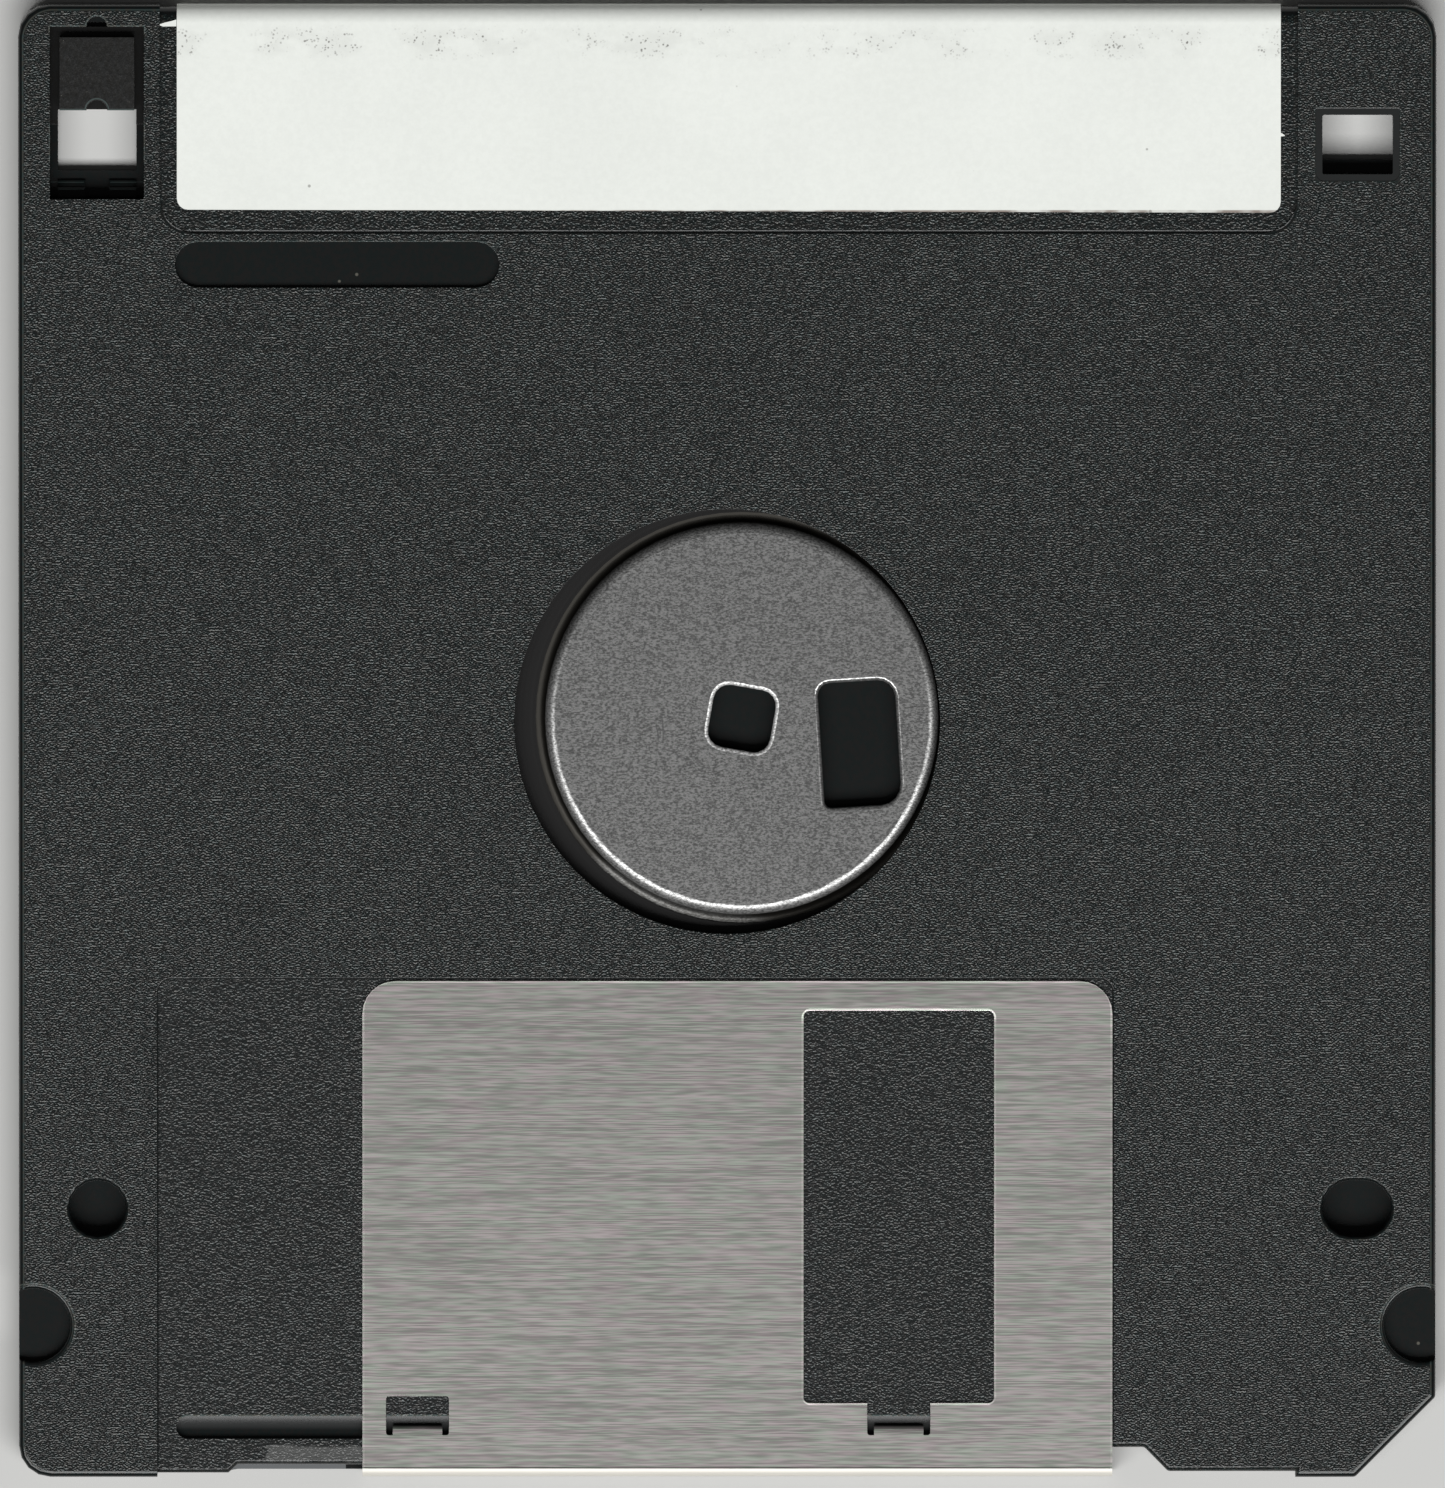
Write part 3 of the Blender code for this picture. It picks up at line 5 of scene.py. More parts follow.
import bmesh
import bpy
from bpy.props import FloatProperty, FloatVectorProperty, PointerProperty
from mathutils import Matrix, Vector


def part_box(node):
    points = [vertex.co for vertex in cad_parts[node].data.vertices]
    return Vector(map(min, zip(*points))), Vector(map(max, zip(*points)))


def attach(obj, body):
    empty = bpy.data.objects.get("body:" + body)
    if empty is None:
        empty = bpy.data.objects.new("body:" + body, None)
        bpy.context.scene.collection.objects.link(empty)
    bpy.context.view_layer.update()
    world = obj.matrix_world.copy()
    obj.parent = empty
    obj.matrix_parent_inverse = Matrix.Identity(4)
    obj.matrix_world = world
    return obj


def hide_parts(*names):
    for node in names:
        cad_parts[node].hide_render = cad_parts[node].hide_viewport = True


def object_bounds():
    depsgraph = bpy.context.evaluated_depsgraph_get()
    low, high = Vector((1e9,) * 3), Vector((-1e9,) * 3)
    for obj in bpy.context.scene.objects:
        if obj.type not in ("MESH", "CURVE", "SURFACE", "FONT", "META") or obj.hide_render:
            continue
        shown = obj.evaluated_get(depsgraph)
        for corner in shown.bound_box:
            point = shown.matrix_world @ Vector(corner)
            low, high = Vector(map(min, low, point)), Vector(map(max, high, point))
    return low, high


bl_info = {
    "name": "Floppy disk cartridge",
    "version": (1, 0, 0),
    "blender": (4, 5, 0),
    "location": "3D View > Sidebar > Cartridge",
    "description": "Dresses the cartridge in moulded plastic, brushed steel, paper and film",
    "category": "Object",
}

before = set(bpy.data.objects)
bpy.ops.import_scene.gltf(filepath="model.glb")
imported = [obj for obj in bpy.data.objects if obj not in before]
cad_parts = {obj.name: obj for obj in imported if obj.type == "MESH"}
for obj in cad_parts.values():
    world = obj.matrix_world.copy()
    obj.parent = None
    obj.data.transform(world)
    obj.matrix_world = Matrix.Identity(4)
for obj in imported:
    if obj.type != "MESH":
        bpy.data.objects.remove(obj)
CAD_LOW, CAD_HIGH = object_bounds()
CASE_LOW, CASE_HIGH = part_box("hub_side_shell")
SHUTTER_LOW, SHUTTER_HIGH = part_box("shutter")
HUB_LOW, HUB_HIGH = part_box("drive_hub")
LABEL_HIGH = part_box("label")[1]

MM = 0.001
FACE = CASE_HIGH.z

# Rounded rectangles, in millimetres: centre x and y, width, height and corner radius.
# The left pocket is the right one's mirror image.
LABEL_RECESS = (0.1, 42.35, 72.2, 20.0, 1.8)
SHUTTER_RECESS = (-5.835, -31.04, 60.75, 32.0, 0.9)
DENSITY_HOLE = (40.0, 37.98, 5.36, 4.66, 0.1)
SLIDE_WINDOW = (-40.0, 39.995, 5.96, 10.97, 0.05)
THUMB_NOTCH = (-40.0, 45.48, 1.32, 1.32, 0.66)
LONG_RECESS = (-24.75, 30.35, 20.6, 2.92, 1.46)
GUIDE_GROOVE = (-10.25, -43.695, 49.5, 1.43, 0.71)
RIGHT_POCKET = (44.1, -37.17, 4.7, 4.7, 2.35)
ROUND_PIN_HOLE = (-40.0, -29.72, 3.6, 3.6, 1.8)
SLOTTED_PIN_HOLE = (40.0, -29.72, 4.4, 3.6, 1.8)
WORN_PATCH = (-26.2, -45.35, 6.4, 0.95, 0.2)
REFLECTING_LEDGE = (-27.85, -46.2, 7.2, 1.1, 0.05)
SLIDE_THUMB_HOLE = (-40.0, 40.14, 1.44, 1.44, 0.72)
SHUTTER_WINDOW = (10.9, -29.62, 12.1, 25.0, 0.45)

# The case's rounded corners and its cut one, and the shutter's leaf, in millimetres
CASE_CORNER = 2.2
CUT_CORNER = 5.1
LEAF_LENGTH = 40.0
LEAF_CORNER = 1.9

# The hollow of the guide groove's floor: half its width, in millimetres, and its depth
GROOVE_HALF = 0.7
GROOVE_HOLLOW = 0.035 * MM

# Depths below the hub-side face, in millimetres, as ramps from nothing to full
GRAINED_DEPTH = (0.34, 0.28)
RIM_DEPTH = (0.42, 0.36)
SUNK_DEPTH = (0.42, 0.46)
DENSITY_FRAME_DEPTH = (0.6, 0.4)
WORN_DEPTH = (0.9, 0.8)
GROOVE_DEPTH = (0.6, 0.7)

# Ramps across heights of the other pieces, in millimetres
LEDGE_HEIGHT = (0.95, 1.0)
SLIDE_FACE_HEIGHT = (2.7, 2.8)
BEND_HEIGHT = (2.6, 2.85)
HUB_ROLL_HEIGHT = (2.6795, 2.66)
HUB_FOOT_HEIGHT = (2.3, 1.9)
LABEL_FACE_HEIGHT = (2.8, 2.9)

# Ramps along Y, in millimetres, to where a painted highlight or painted shade is full
LABEL_SHADE_SIDES = (33.6, 34.6)
WINDOW_TOP = (44.9, 45.3)
JAMB_FOOT = (36.7, 37.0)
JAMB_HEAD = (39.5, 39.2)
LONG_RECESS_TOP = (31.2, 31.7)
GROOVE_TOP = (-43.4, -43.1)
LOWER_CASE = (-10.0, -30.0)
LEAF_TOP = (-20.0, -17.0)
SHUTTER_WINDOW_TOP = (-18.2, -17.3)
SHUTTER_WINDOW_FOOT = (-41.9, -42.1)
BEND_START = (-46.28, -46.36)

# Lines along X, in millimetres on Y: painted highlight lines and a painted shade line
SLIDE_STEP = 40.2
SILL_LINES = (35.47, 35.04)
FOLD_SHADE_LINE = -46.24

# Ramps outwards from the hub's middle, in millimetres
NEAR_CENTRE_HOLE = (4.2, 4.0)
NEAR_DRIVE_SLOT = (11.3, 11.1)
HUB_WALL = (12.2, 12.4)

# Distances from the folded end of the label, in millimetres
DIRT_BAND_MIDDLE = 2.35
DIRT_BAND_HALF = (1.25, 0.3)
LABEL_LENGTH = 13.1

# Brush marks: cycles to the millimetre along them, and the step in the noise from row to row
LONG_MARKS = (0.14, 7.31)
SHORT_MARKS = (0.7, 5.77)
TINTED_MARKS = (0.45, 3.37)

# Scratches on the hub, in millimetres: centre x and y, length and turn
SCRATCHES = (
    (-4.1, 0.9, 2.1, 0.05),
    (-4.45, 0.6, 1.6, 0.12),
    (8.9, 9.6, 1.7, 0.5),
    (-1.5, -7.5, 1.2, -1.0),
)

# Corners of the two bits of paper beside the label, in millimetres
TORN_SCRAP = (
    (-36.1, 45.6),
    (-35.8, 45.49),
    (-34.95, 45.5),
    (-34.95, 45.93),
    (-35.25, 45.84),
    (-35.75, 45.72),
)
LIFTED_NICK = (
    (35.1, 38.5),
    (35.36, 38.52),
    (35.38, 38.58),
    (35.24, 38.68),
    (35.1, 38.74),
)
SCRAP_DEPTH = 0.1 * MM
SCRAP_THICKNESS = 0.09 * MM

# Edges are shaded sharp from the first angle and rounded from the second, and faces that
# meet at less than the third are one. Vertices closer than SAME_PLACE are merged.
SHARP_ANGLE = math.radians(32)
ROUNDED_ANGLE = math.radians(40)
FLAT_ANGLE = math.radians(0.6)
SAME_PLACE = 1e-6
EDGE_SEGMENTS = 2
ROUND_SEGMENTS = 96

# The density hole's frame: its reach from the hole's middle, the depths below the face that
# its vertices have in the solid, and the one depth that they get
DENSITY_FRAME_REACH = (2.8 * MM, 2.5 * MM)
DENSITY_FRAME_LEAST = 0.01 * MM
DENSITY_FRAME_MOST = 0.15 * MM
DENSITY_FRAME_SINK = 0.06 * MM

# The slide's arms: how far their outer faces are from its middle, give or take the second
# length, their top, and how far the faces are eased
ARM_FACE = 2.49 * MM
ARM_FACE_SLACK = 0.02 * MM
ARM_TOP = 1.8 * MM
ARM_EASE = 0.03 * MM

# The liners: half the gap for the heads, the height of the cloth's ripple, how many times a
# ring is cut across its width, and how close its vertices are merged
HALF_HEAD_GAP = 4.7 * MM
LINER_RIPPLE = 0.012 * MM
LINER_CUTS = 11
LINER_SAME_PLACE = 1e-7

# The stage, in metres, and the camera's sensor, in millimetres
FLOOR_RADIUS = 3.0
LAMP_SIZE = (5.3, 1.6)
LAMP_PLACE = (0, -1.69, 3.62)
FARTHEST_SEEN = 20.0
SENSOR_WIDTH = 36.0


# Shader expressions


class Socket:
    """A node's output, on which arithmetic adds Math nodes."""

    def __init__(self, shader, source):
        self.shader = shader
        self.source = source

    def _math(self, operation, *values):
        return self.shader.node("ShaderNodeMath", {"operation": operation}, values)

    def __add__(self, other):
        return self._math("ADD", self, other)

    def __radd__(self, other):
        return self._math("ADD", other, self)

    def __sub__(self, other):
        return self._math("SUBTRACT", self, other)

    def __rsub__(self, other):
        return self._math("SUBTRACT", other, self)

    def __mul__(self, other):
        return self._math("MULTIPLY", self, other)

    def __abs__(self):
        return self._math("ABSOLUTE", self)

    def highest(self, other):
        """The greater of two values."""
        return self._math("MAXIMUM", self, other)

    def lowest(self, other):
        """The smaller of two values."""
        return self._math("MINIMUM", self, other)

    def root(self):
        """The square root."""
        return self._math("SQRT", self)

    def floor(self):
        """The whole number at or below this one."""
        return self._math("FLOOR", self)

    def between(self, start, end, low=0.0, high=1.0):
        """A smooth ramp from low at start to high at end, held outside that range."""
        return self.shader.node(
            "ShaderNodeMapRange",
            {"interpolation_type": "SMOOTHSTEP", "clamp": True},
            {"Value": self, "From Min": start, "From Max": end, "To Min": low, "To Max": high},
            "Result",
        )

    def near(self, value, fade, full):
        """1 within full of a value and 0 beyond fade from it."""
        return abs(self - value).between(fade, full)


class Finish:
    """A procedural material built from one Principled shader."""

    def __init__(self, name):
        self.material = bpy.data.materials.new(name)
        self.material.use_nodes = True
        self.tree = self.material.node_tree
        self.shader = self.tree.nodes["Principled BSDF"]

    def node(self, kind, settings=None, inputs=(), output=0):
        """Adds a node, sets it up, feeds its sockets and returns one of its outputs."""
        made = self.tree.nodes.new(kind)
        for key, value in (settings or {}).items():
            setattr(made, key, value)
        pairs = inputs.items() if isinstance(inputs, dict) else enumerate(inputs)
        for key, value in pairs:
            self.feed(made.inputs[key], value)
        return Socket(self, made.outputs[output])

    def feed(self, socket, value):
        """Links a socket to another, or sets its value, with an alpha of 1 for a colour."""
        if isinstance(value, Socket):
            self.tree.links.new(value.source, socket)
        elif not hasattr(socket.default_value, "__len__"):
            socket.default_value = value
        elif isinstance(value, (int, float)):
            socket.default_value = (value,) * len(socket.default_value)
        else:
            missing = len(socket.default_value) - len(value)
            socket.default_value = (*value,) + (1.0,) * missing

    def place(self, centre=(0, 0, 0)):
        """Object coordinates in millimetres about a point."""
        coords = self.node("ShaderNodeTexCoord", output="Object")
        moved = self.node("ShaderNodeVectorMath", {"operation": "SUBTRACT"}, [coords, centre])
        return self.node(
            "ShaderNodeMapping",
            {"vector_type": "POINT"},
            {"Vector": moved, "Scale": (1 / MM, 1 / MM, 1 / MM)},
        )

    def parts(self, vector):
        """The X, Y and Z of a vector."""
        split = self.node("ShaderNodeSeparateXYZ", None, [vector]).source.node
        return [Socket(self, output) for output in split.outputs]

    def joined(self, x, y=0.0):
        """A vector in the XY plane."""
        return self.node("ShaderNodeCombineXYZ", None, [x, y])

    def shifted(self, vector, offset):
        """A vector moved by an offset."""
        return self.node("ShaderNodeVectorMath", {"operation": "ADD"}, [vector, offset])

    def stretch(self, vector, scale):
        """A vector stretched along its axes."""
        return self.node("ShaderNodeVectorMath", {"operation": "MULTIPLY"}, [vector, scale])

    def noise(self, vector, scale, detail=2.0, roughness=0.5, distortion=0.0):
        """Noise from 0 to 1 at so many cycles to the millimetre."""
        return self.node(
            "ShaderNodeTexNoise",
            {"noise_dimensions": "3D"},
            {
                "Vector": vector,
                "Scale": scale,
                "Detail": detail,
                "Roughness": roughness,
                "Distortion": distortion,
            },
            "Fac",
        )

    def cells(self, vector, scale, randomness=1.0):
        """The distance to the nearest cell point."""
        return self.node(
            "ShaderNodeTexVoronoi",
            {"feature": "F1"},
            {"Vector": vector, "Scale": scale, "Randomness": randomness},
            "Distance",
        )

    def blend(self, factor, first, second):
        """A colour between two colours."""
        settings = {"data_type": "RGBA", "clamp_factor": True}
        return self.node("ShaderNodeMix", settings, {0: factor, 6: first, 7: second}, 2)

    def shade(self, colour, amount):
        """A colour made lighter or darker by an amount."""
        return self.node(
            "ShaderNodeVectorMath", {"operation": "SCALE"}, {"Vector": colour, "Scale": amount}
        )

    def bump(self, height, distance):
        """A bump of so many metres to a height of 1."""
        inputs = {"Strength": 1.0, "Distance": distance, "Height": height}
        return self.node("ShaderNodeBump", None, inputs)

    def beyond(self, x, y, outline):
        """Distance outside a rounded rectangle, and below 0 within it."""
        centre_x, centre_y, width, height, corner = outline
        across = abs(x - centre_x) - (width / 2 - corner)
        along = abs(y - centre_y) - (height / 2 - corner)
        out_x = across.highest(0.0)
        out_y = along.highest(0.0)
        within = across.highest(along).lowest(0.0)
        return (out_x * out_x + out_y * out_y).root() + within - corner

    def inside(self, x, y, outline, soft):
        """1 inside a rounded rectangle and 0 outside."""
        return self.beyond(x, y, outline).between(soft, -soft)

    def set(self, **values):
        """Feeds the shader's sockets, named in lower case with underscores for blanks."""
        named = {socket.name.lower().replace(" ", "_"): socket for socket in self.shader.inputs}
        for key, value in values.items():
            self.feed(named[key], value)
        return self.material


# Meshes


def solid(name, bm, material, body):
    """A finished piece of the cartridge from a bmesh."""
    bm.normal_update()
    for face in bm.faces:
        face.smooth = True
    for edge in bm.edges:
        edge.smooth = edge.calc_face_angle(0.0) < SHARP_ANGLE
    mesh = bpy.data.meshes.new(name)
    bm.to_mesh(mesh)
    bm.free()
    mesh.materials.append(material)
    obj = bpy.data.objects.new(name, mesh)
    bpy.context.collection.objects.link(obj)
    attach(obj, body)
    return obj


def copied(node):
    """A copy of a CAD node's mesh with its doubles merged."""
    bm = bmesh.new()
    bm.from_mesh(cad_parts[node].data)
    bmesh.ops.remove_doubles(bm, verts=bm.verts, dist=SAME_PLACE)
    return bm


def welded(node):
    """A copy of a CAD node's mesh with its flat faces whole."""
    bm = copied(node)
    bmesh.ops.dissolve_limit(
        bm,
        angle_limit=FLAT_ANGLE,
        verts=bm.verts,
        edges=bm.edges,
        use_dissolve_boundaries=False,
        delimit=set(),
    )
    return bm


def soften(bm, radius, chosen=lambda a, b: True):
    """Rounds the sharp outer edges, or those of them that a test on their ends chooses."""
    edges = [
        e
        for e in bm.edges
        if len(e.link_faces) == 2
        and e.is_convex
        and e.calc_face_angle() > ROUNDED_ANGLE
        and chosen(*(v.co for v in e.verts))
    ]
    bmesh.ops.bevel(
        bm,
        geom=edges,
        offset=radius,
        offset_type="OFFSET",
        segments=EDGE_SEGMENTS,
        profile=0.5,
        affect="EDGES",
        material=-1,
        clamp_overlap=True,
    )


def even(obj):
    """Keeps flat faces flat where they meet rounded edges."""
    normals = obj.modifiers.new("even_normals", "WEIGHTED_NORMAL")
    normals.weight = 60
    normals.keep_sharp = True
    return obj


def dress(node, material):
    """Gives a CAD node a finished material."""
    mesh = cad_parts[node].data
    mesh.materials.clear()
    mesh.materials.append(material)


def on_density_frame(point):
    """Whether a point is on the frame of the density hole."""
    reach_x, reach_y = DENSITY_FRAME_REACH
    aside = abs(point.x - DENSITY_HOLE[0] * MM)
    along = abs(point.y - DENSITY_HOLE[1] * MM)
    return aside < reach_x and along < reach_y


def liner_hole(node):
    """The radius of a liner's hole."""
    low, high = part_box(node)
    centre_y = high.y - (high.x - low.x) / 2
    return min(math.hypot(v.co.x, v.co.y - centre_y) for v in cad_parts[node].data.vertices)


def liner_ring(inner, outer):
    """A flat ring of cloth with the gap for the heads cut out of it."""
    bm = bmesh.new()
    bm.edges.new([bm.verts.new((radius, 0, 0)) for radius in (inner, outer)])
    bmesh.ops.subdivide_edges(bm, edges=bm.edges, cuts=LINER_CUTS)
    bmesh.ops.spin(
        bm,
        geom=bm.verts[:] + bm.edges[:],
        axis=(0, 0, 1),
        angle=2 * math.pi,
        steps=ROUND_SEGMENTS,
        use_merge=True,
    )
    bmesh.ops.remove_doubles(bm, verts=bm.verts, dist=LINER_SAME_PLACE)
    for side in (-HALF_HEAD_GAP, HALF_HEAD_GAP):
        bmesh.ops.bisect_plane(
            bm,
            geom=bm.verts[:] + bm.edges[:] + bm.faces[:],
            plane_co=(side, 0, 0),
            plane_no=(1, 0, 0),
            dist=LINER_SAME_PLACE,
        )
    middles = {face: face.calc_center_median() for face in bm.faces}
    gone = [face for face, at in middles.items() if abs(at.x) < HALF_HEAD_GAP and at.y < 0]
    bmesh.ops.delete(bm, geom=gone, context="FACES")
    return bm


def lay(bm, centre_y, base, thickness):
    """Moves a flat ring to its place, ripples it faintly and makes it a sheet."""
    for vert in bm.verts:
        around = math.atan2(vert.co.y, vert.co.x)
        away = math.hypot(vert.co.x, vert.co.y)
        wave = math.sin(7 * around + away / MM * 0.3) * math.sin(away / MM * 0.55)
        vert.co.z = base + LINER_RIPPLE * wave
        vert.co.y += centre_y
    bmesh.ops.recalc_face_normals(bm, faces=bm.faces)
    bmesh.ops.solidify(bm, geom=bm.faces[:], thickness=thickness)
    bmesh.ops.recalc_face_normals(bm, faces=bm.faces)


# Sizes and colours


def colour(name, description, default):
    """A colour property."""
    return FloatVectorProperty(
        name=name,
        description=description,
        default=default,
        subtype="COLOR",
        size=3,
        min=0.0,
        max=1.0,
    )


def length(name, description, default):
    """A length property, in metres."""
    return FloatProperty(
        name=name, description=description, default=default, unit="LENGTH", min=0.0, precision=6
    )


def share(name, description, default):
    """A share from 0 to 1."""
    return FloatProperty(
        name=name, description=description, default=default, subtype="FACTOR", min=0.0, max=1.0
    )


class CaseSettings(bpy.types.PropertyGroup):
    """The moulded case."""

    plastic: colour("Plastic", "Colour of the case's plastic", (0.0052, 0.0078, 0.0078))
    plastic_warm: colour(
        "Warm plastic", "Colour that it drifts to in patches", (0.0075, 0.0080, 0.0078)
    )
    # Painted highlight colours, for the grain's lit sides and for the light lines along edges, the
    # sill and the slide
    painted_gleam: colour("Gleam", "Colour of the grain's lit sides", (0.061, 0.084, 0.081))
    painted_gleam_warm: colour("Warm gleam", "Colour that the lit sides drift to", (0.078, 0.080, 0.068))
    sunk: colour(
        "Sunk plastic", "Colour of the groove's and frame's duller floors", (0.021, 0.0225, 0.0225)
    )
    # Painted reflection of the lamp on the smooth ledge under the shutter's bend
    ledge_reflection: colour(
        "Ledge reflection", "Colour of the ledge under the shutter's bend", (0.15, 0.157, 0.162)
    )
    worn: colour("Worn plastic", "Colour where the shutter has rubbed it", (0.085, 0.087, 0.085))
    slide: colour("Slide", "Colour of the write-protect slide", (0.0075, 0.0072, 0.0062))
    dust: colour("Dust", "Colour of the dust on the sunk floors", (0.2, 0.19, 0.16))
    specks: colour("Specks", "Colour of the specks on the slide", (0.14, 0.13, 0.11))
    edge: length("Edge radius", "Rounding of the moulded edges", 0.00009)
    lip: length("Lip", "Width of the ungrained lip round the case", 0.00036)
    grain: length("Grain", "Distance between the bumps of the grain", 0.0001)
    grain_depth: length("Grain depth", "Height of the grain's bumps", 0.000018)
    roughness: share("Roughness", "Roughness of the grained faces", 0.2)
    smoothness: share("Smooth roughness", "Roughness of the smooth floors, walls and lips", 0.18)


class SteelSettings(bpy.types.PropertyGroup):
    """The shutter, the hub and the spring."""

    shutter: colour("Shutter", "Colour of the brushed shutter", (0.282, 0.251, 0.252))
    shutter_tint: colour("Shutter tint", "Colour of its greener streaks", (0.241, 0.262, 0.23))
    # Painted highlight colour for the shutter's bend
    bend_highlight: colour("Bend highlight", "Colour of the shutter's bend", (0.93, 0.9, 0.82))
    hub: colour("Hub", "Colour of the hub", (0.149, 0.149, 0.147))
    # Brown glue and painted shade at the foot of the hub's wall
    glue_and_shade: colour(
        "Glue and shade", "Colour of the glue at the foot of the hub's wall", (0.03, 0.028, 0.024)
    )
    scratch: colour("Scratch", "Colour of the scratches on the hub", (0.08, 0.08, 0.08))
    wire: colour("Spring", "Colour of the spring wire", (0.45, 0.45, 0.46))
    edge: length("Edge radius", "Rounding of the sheared edges", 0.00005)
    brushing: length("Brushing", "Distance between the brush marks", 0.000065)
    shutter_roughness: share("Shutter roughness", "Roughness of the brushed face", 0.285)
    hub_roughness: share("Hub roughness", "Roughness of the hub's face", 0.29)


class SoftSettings(bpy.types.PropertyGroup):
    """The label, the film and what lies inside."""

    paper: colour("Paper", "Colour of the label", (0.83, 0.855, 0.81))
    dirt: colour("Dirt", "Colour of the specks on the label", (0.16, 0.15, 0.14))
    brown_edge: colour("Brown edge", "Colour of the grime on the label's lower edge", (0.13, 0.07, 0.045))
    film: colour("Film", "Colour of the magnetic coating", (0.0095, 0.0092, 0.0092))
    liner: colour("Liner", "Colour of the liner cloth", (0.74, 0.74, 0.72))
    adhesive: colour("Adhesive", "Colour of the bonding ring", (0.42, 0.33, 0.2))
    lifter: colour("Lifter", "Colour of the lifter leaf", (0.52, 0.55, 0.53))
    liner_thickness: length("Liner thickness", "Thickness of the liner cloth", 0.00016)


class StageSettings(bpy.types.PropertyGroup):
    """The floor, the lamp, the sky and the camera."""

    floor: colour("Floor", "Colour of the floor", (0.605, 0.605, 0.592))
    key: FloatProperty(name="Key", description="Strength of the long lamp", default=214.0, min=0.0)
    fill: FloatProperty(name="Fill", description="Strength of the sky", default=0.05, min=0.0)
    tilt: FloatProperty(
        name="Tilt",
        description="Camera's lean to the label end",
        default=math.radians(4),
        subtype="ANGLE",
    )
    distance: length("Distance", "How far the camera stands off", 4.0)
    view_height: length("View height", "Height of what the camera sees", 0.09448)
    aside: length("Aside", "How far the view is centred to the left", 0.0003)
    down: length("Down", "How far the view is centred towards the shutter", 0.00014)


# Finishes


def plastic_finish(name, settings, underside=False):
    """Black moulded plastic: grained outside, smooth on its lip, walls and sunk floors, with
    painted highlights on the grain and along edges, and painted shade along recess edges and in
    the groove.
    """
    made = Finish(name)
    place = made.place()
    x, y, z = made.parts(place)
    depth = z if underside else FACE / MM - z
    outer = depth.between(*GRAINED_DEPTH)
    outline = case_outline(made, x, y)
    lip = settings.lip / MM
    grained = outer * outline.between(-lip + 0.04, -lip - 0.04)
    # Painted highlight: a thin light line along the case's outline, inside the lip
    lines = outline.near(0.06 - lip, 0.07, 0.02) * outer * 0.5
    edges = {} if underside else hub_side_edges(made, x, y)
    if edges:
        # Painted shade: a dark line just inside the label recess's and the shutter recess's edges,
        # where the grain and its painted highlight are left out
        shade_line = edges["label"].near(-0.07, 0.12, 0.05) * y.between(*LABEL_SHADE_SIDES, 1.0, 0.4)
        shade_line = shade_line.highest(edges["shutter"].near(-0.03, 0.07, 0.03) * 0.8)
        grained = grained * (1.0 - shade_line) * edges["density"].between(-0.03, 0.03)
        grained = grained * edges["pocket"].between(0.26, 0.3) * edges["pin"].between(0.12, 0.16)
        lines = lines.highest(lit_rims(edges, x, y) * depth.between(*RIM_DEPTH))

    # Painted highlight on the grain's sides that face the lamp, a little weaker towards the
    # shutter's end
    bumps, lit = grain_light(made, place, settings.grain / MM)
    lit = lit - y.between(*LOWER_CASE) * 0.06
    hues = made.noise(place, 3.4, detail=1.0)
    base = made.blend(hues.between(0.42, 0.58), settings.plastic, settings.plastic_warm)
    if edges:
        calm = edges["shutter"].between(0.0, -0.05) * grained
        lit = lit * (1.0 - calm * 0.2)
        base = made.blend(calm * 0.35, base, settings.sunk)
    # The painted highlights of the grain and of the lines along the edges, mixed into the colour
    painted_gleam = made.blend(hues.between(0.4, 0.6), settings.painted_gleam, settings.painted_gleam_warm)
    base = made.blend((lit * grained).highest(lines), base, painted_gleam)
    height = bumps * grained
    if edges:
        base = hub_side_wear(made, place, depth, edges, settings, base)
        # The groove's floor gets the duller sunk tone on its upper part and keeps the dark plastic
        # on its lower part, as painted shade from its lower wall
        groove = depth.between(*GROOVE_DEPTH) * edges["groove"].between(0.1, 0.06)
        across = (y - GUIDE_GROOVE[1]) * (1 / GROOVE_HALF)
        base = made.blend(groove * across.between(-0.35, 0.15), base, settings.sunk)
        height = height + groove * across * across * (GROOVE_HOLLOW / settings.grain_depth)
    else:
        base = label_side_marks(made, x, y, z, settings, base)
    rough = grained.between(0.0, 1.0, settings.smoothness, settings.roughness)
    normal = made.bump(height, settings.grain_depth)
    return made.set(base_color=base, roughness=rough, normal=normal, specular_ior_level=0.3)


def case_outline(made, x, y):
    """The distance outside the case's outline with its cut corner, in millimetres."""
    half_x = CASE_HIGH.x / MM
    half_y = CASE_HIGH.y / MM
    outline = made.beyond(x, y, (0.0, 0.0, 2 * half_x, 2 * half_y, CASE_CORNER))
    return outline.highest((x - y - (half_x + half_y - CUT_CORNER)) * math.sqrt(0.5))


def hub_side_edges(made, x, y):
    """The distance outside each feature that is moulded in the hub side, in millimetres."""
    window = made.beyond(x, y, SLIDE_WINDOW)
    pin = made.beyond(x, y, ROUND_PIN_HOLE)
    return {
        "label": made.beyond(x, y, LABEL_RECESS),
        "shutter": made.beyond(x, y, SHUTTER_RECESS),
        "density": made.beyond(x, y, DENSITY_HOLE),
        "window": window.lowest(made.beyond(x, y, THUMB_NOTCH)),
        "recess": made.beyond(x, y, LONG_RECESS),
        "groove": made.beyond(x, y, GUIDE_GROOVE),
        "pocket": made.beyond(abs(x), y, RIGHT_POCKET),
        "pin": pin.lowest(made.beyond(x, y, SLOTTED_PIN_HOLE)),
    }


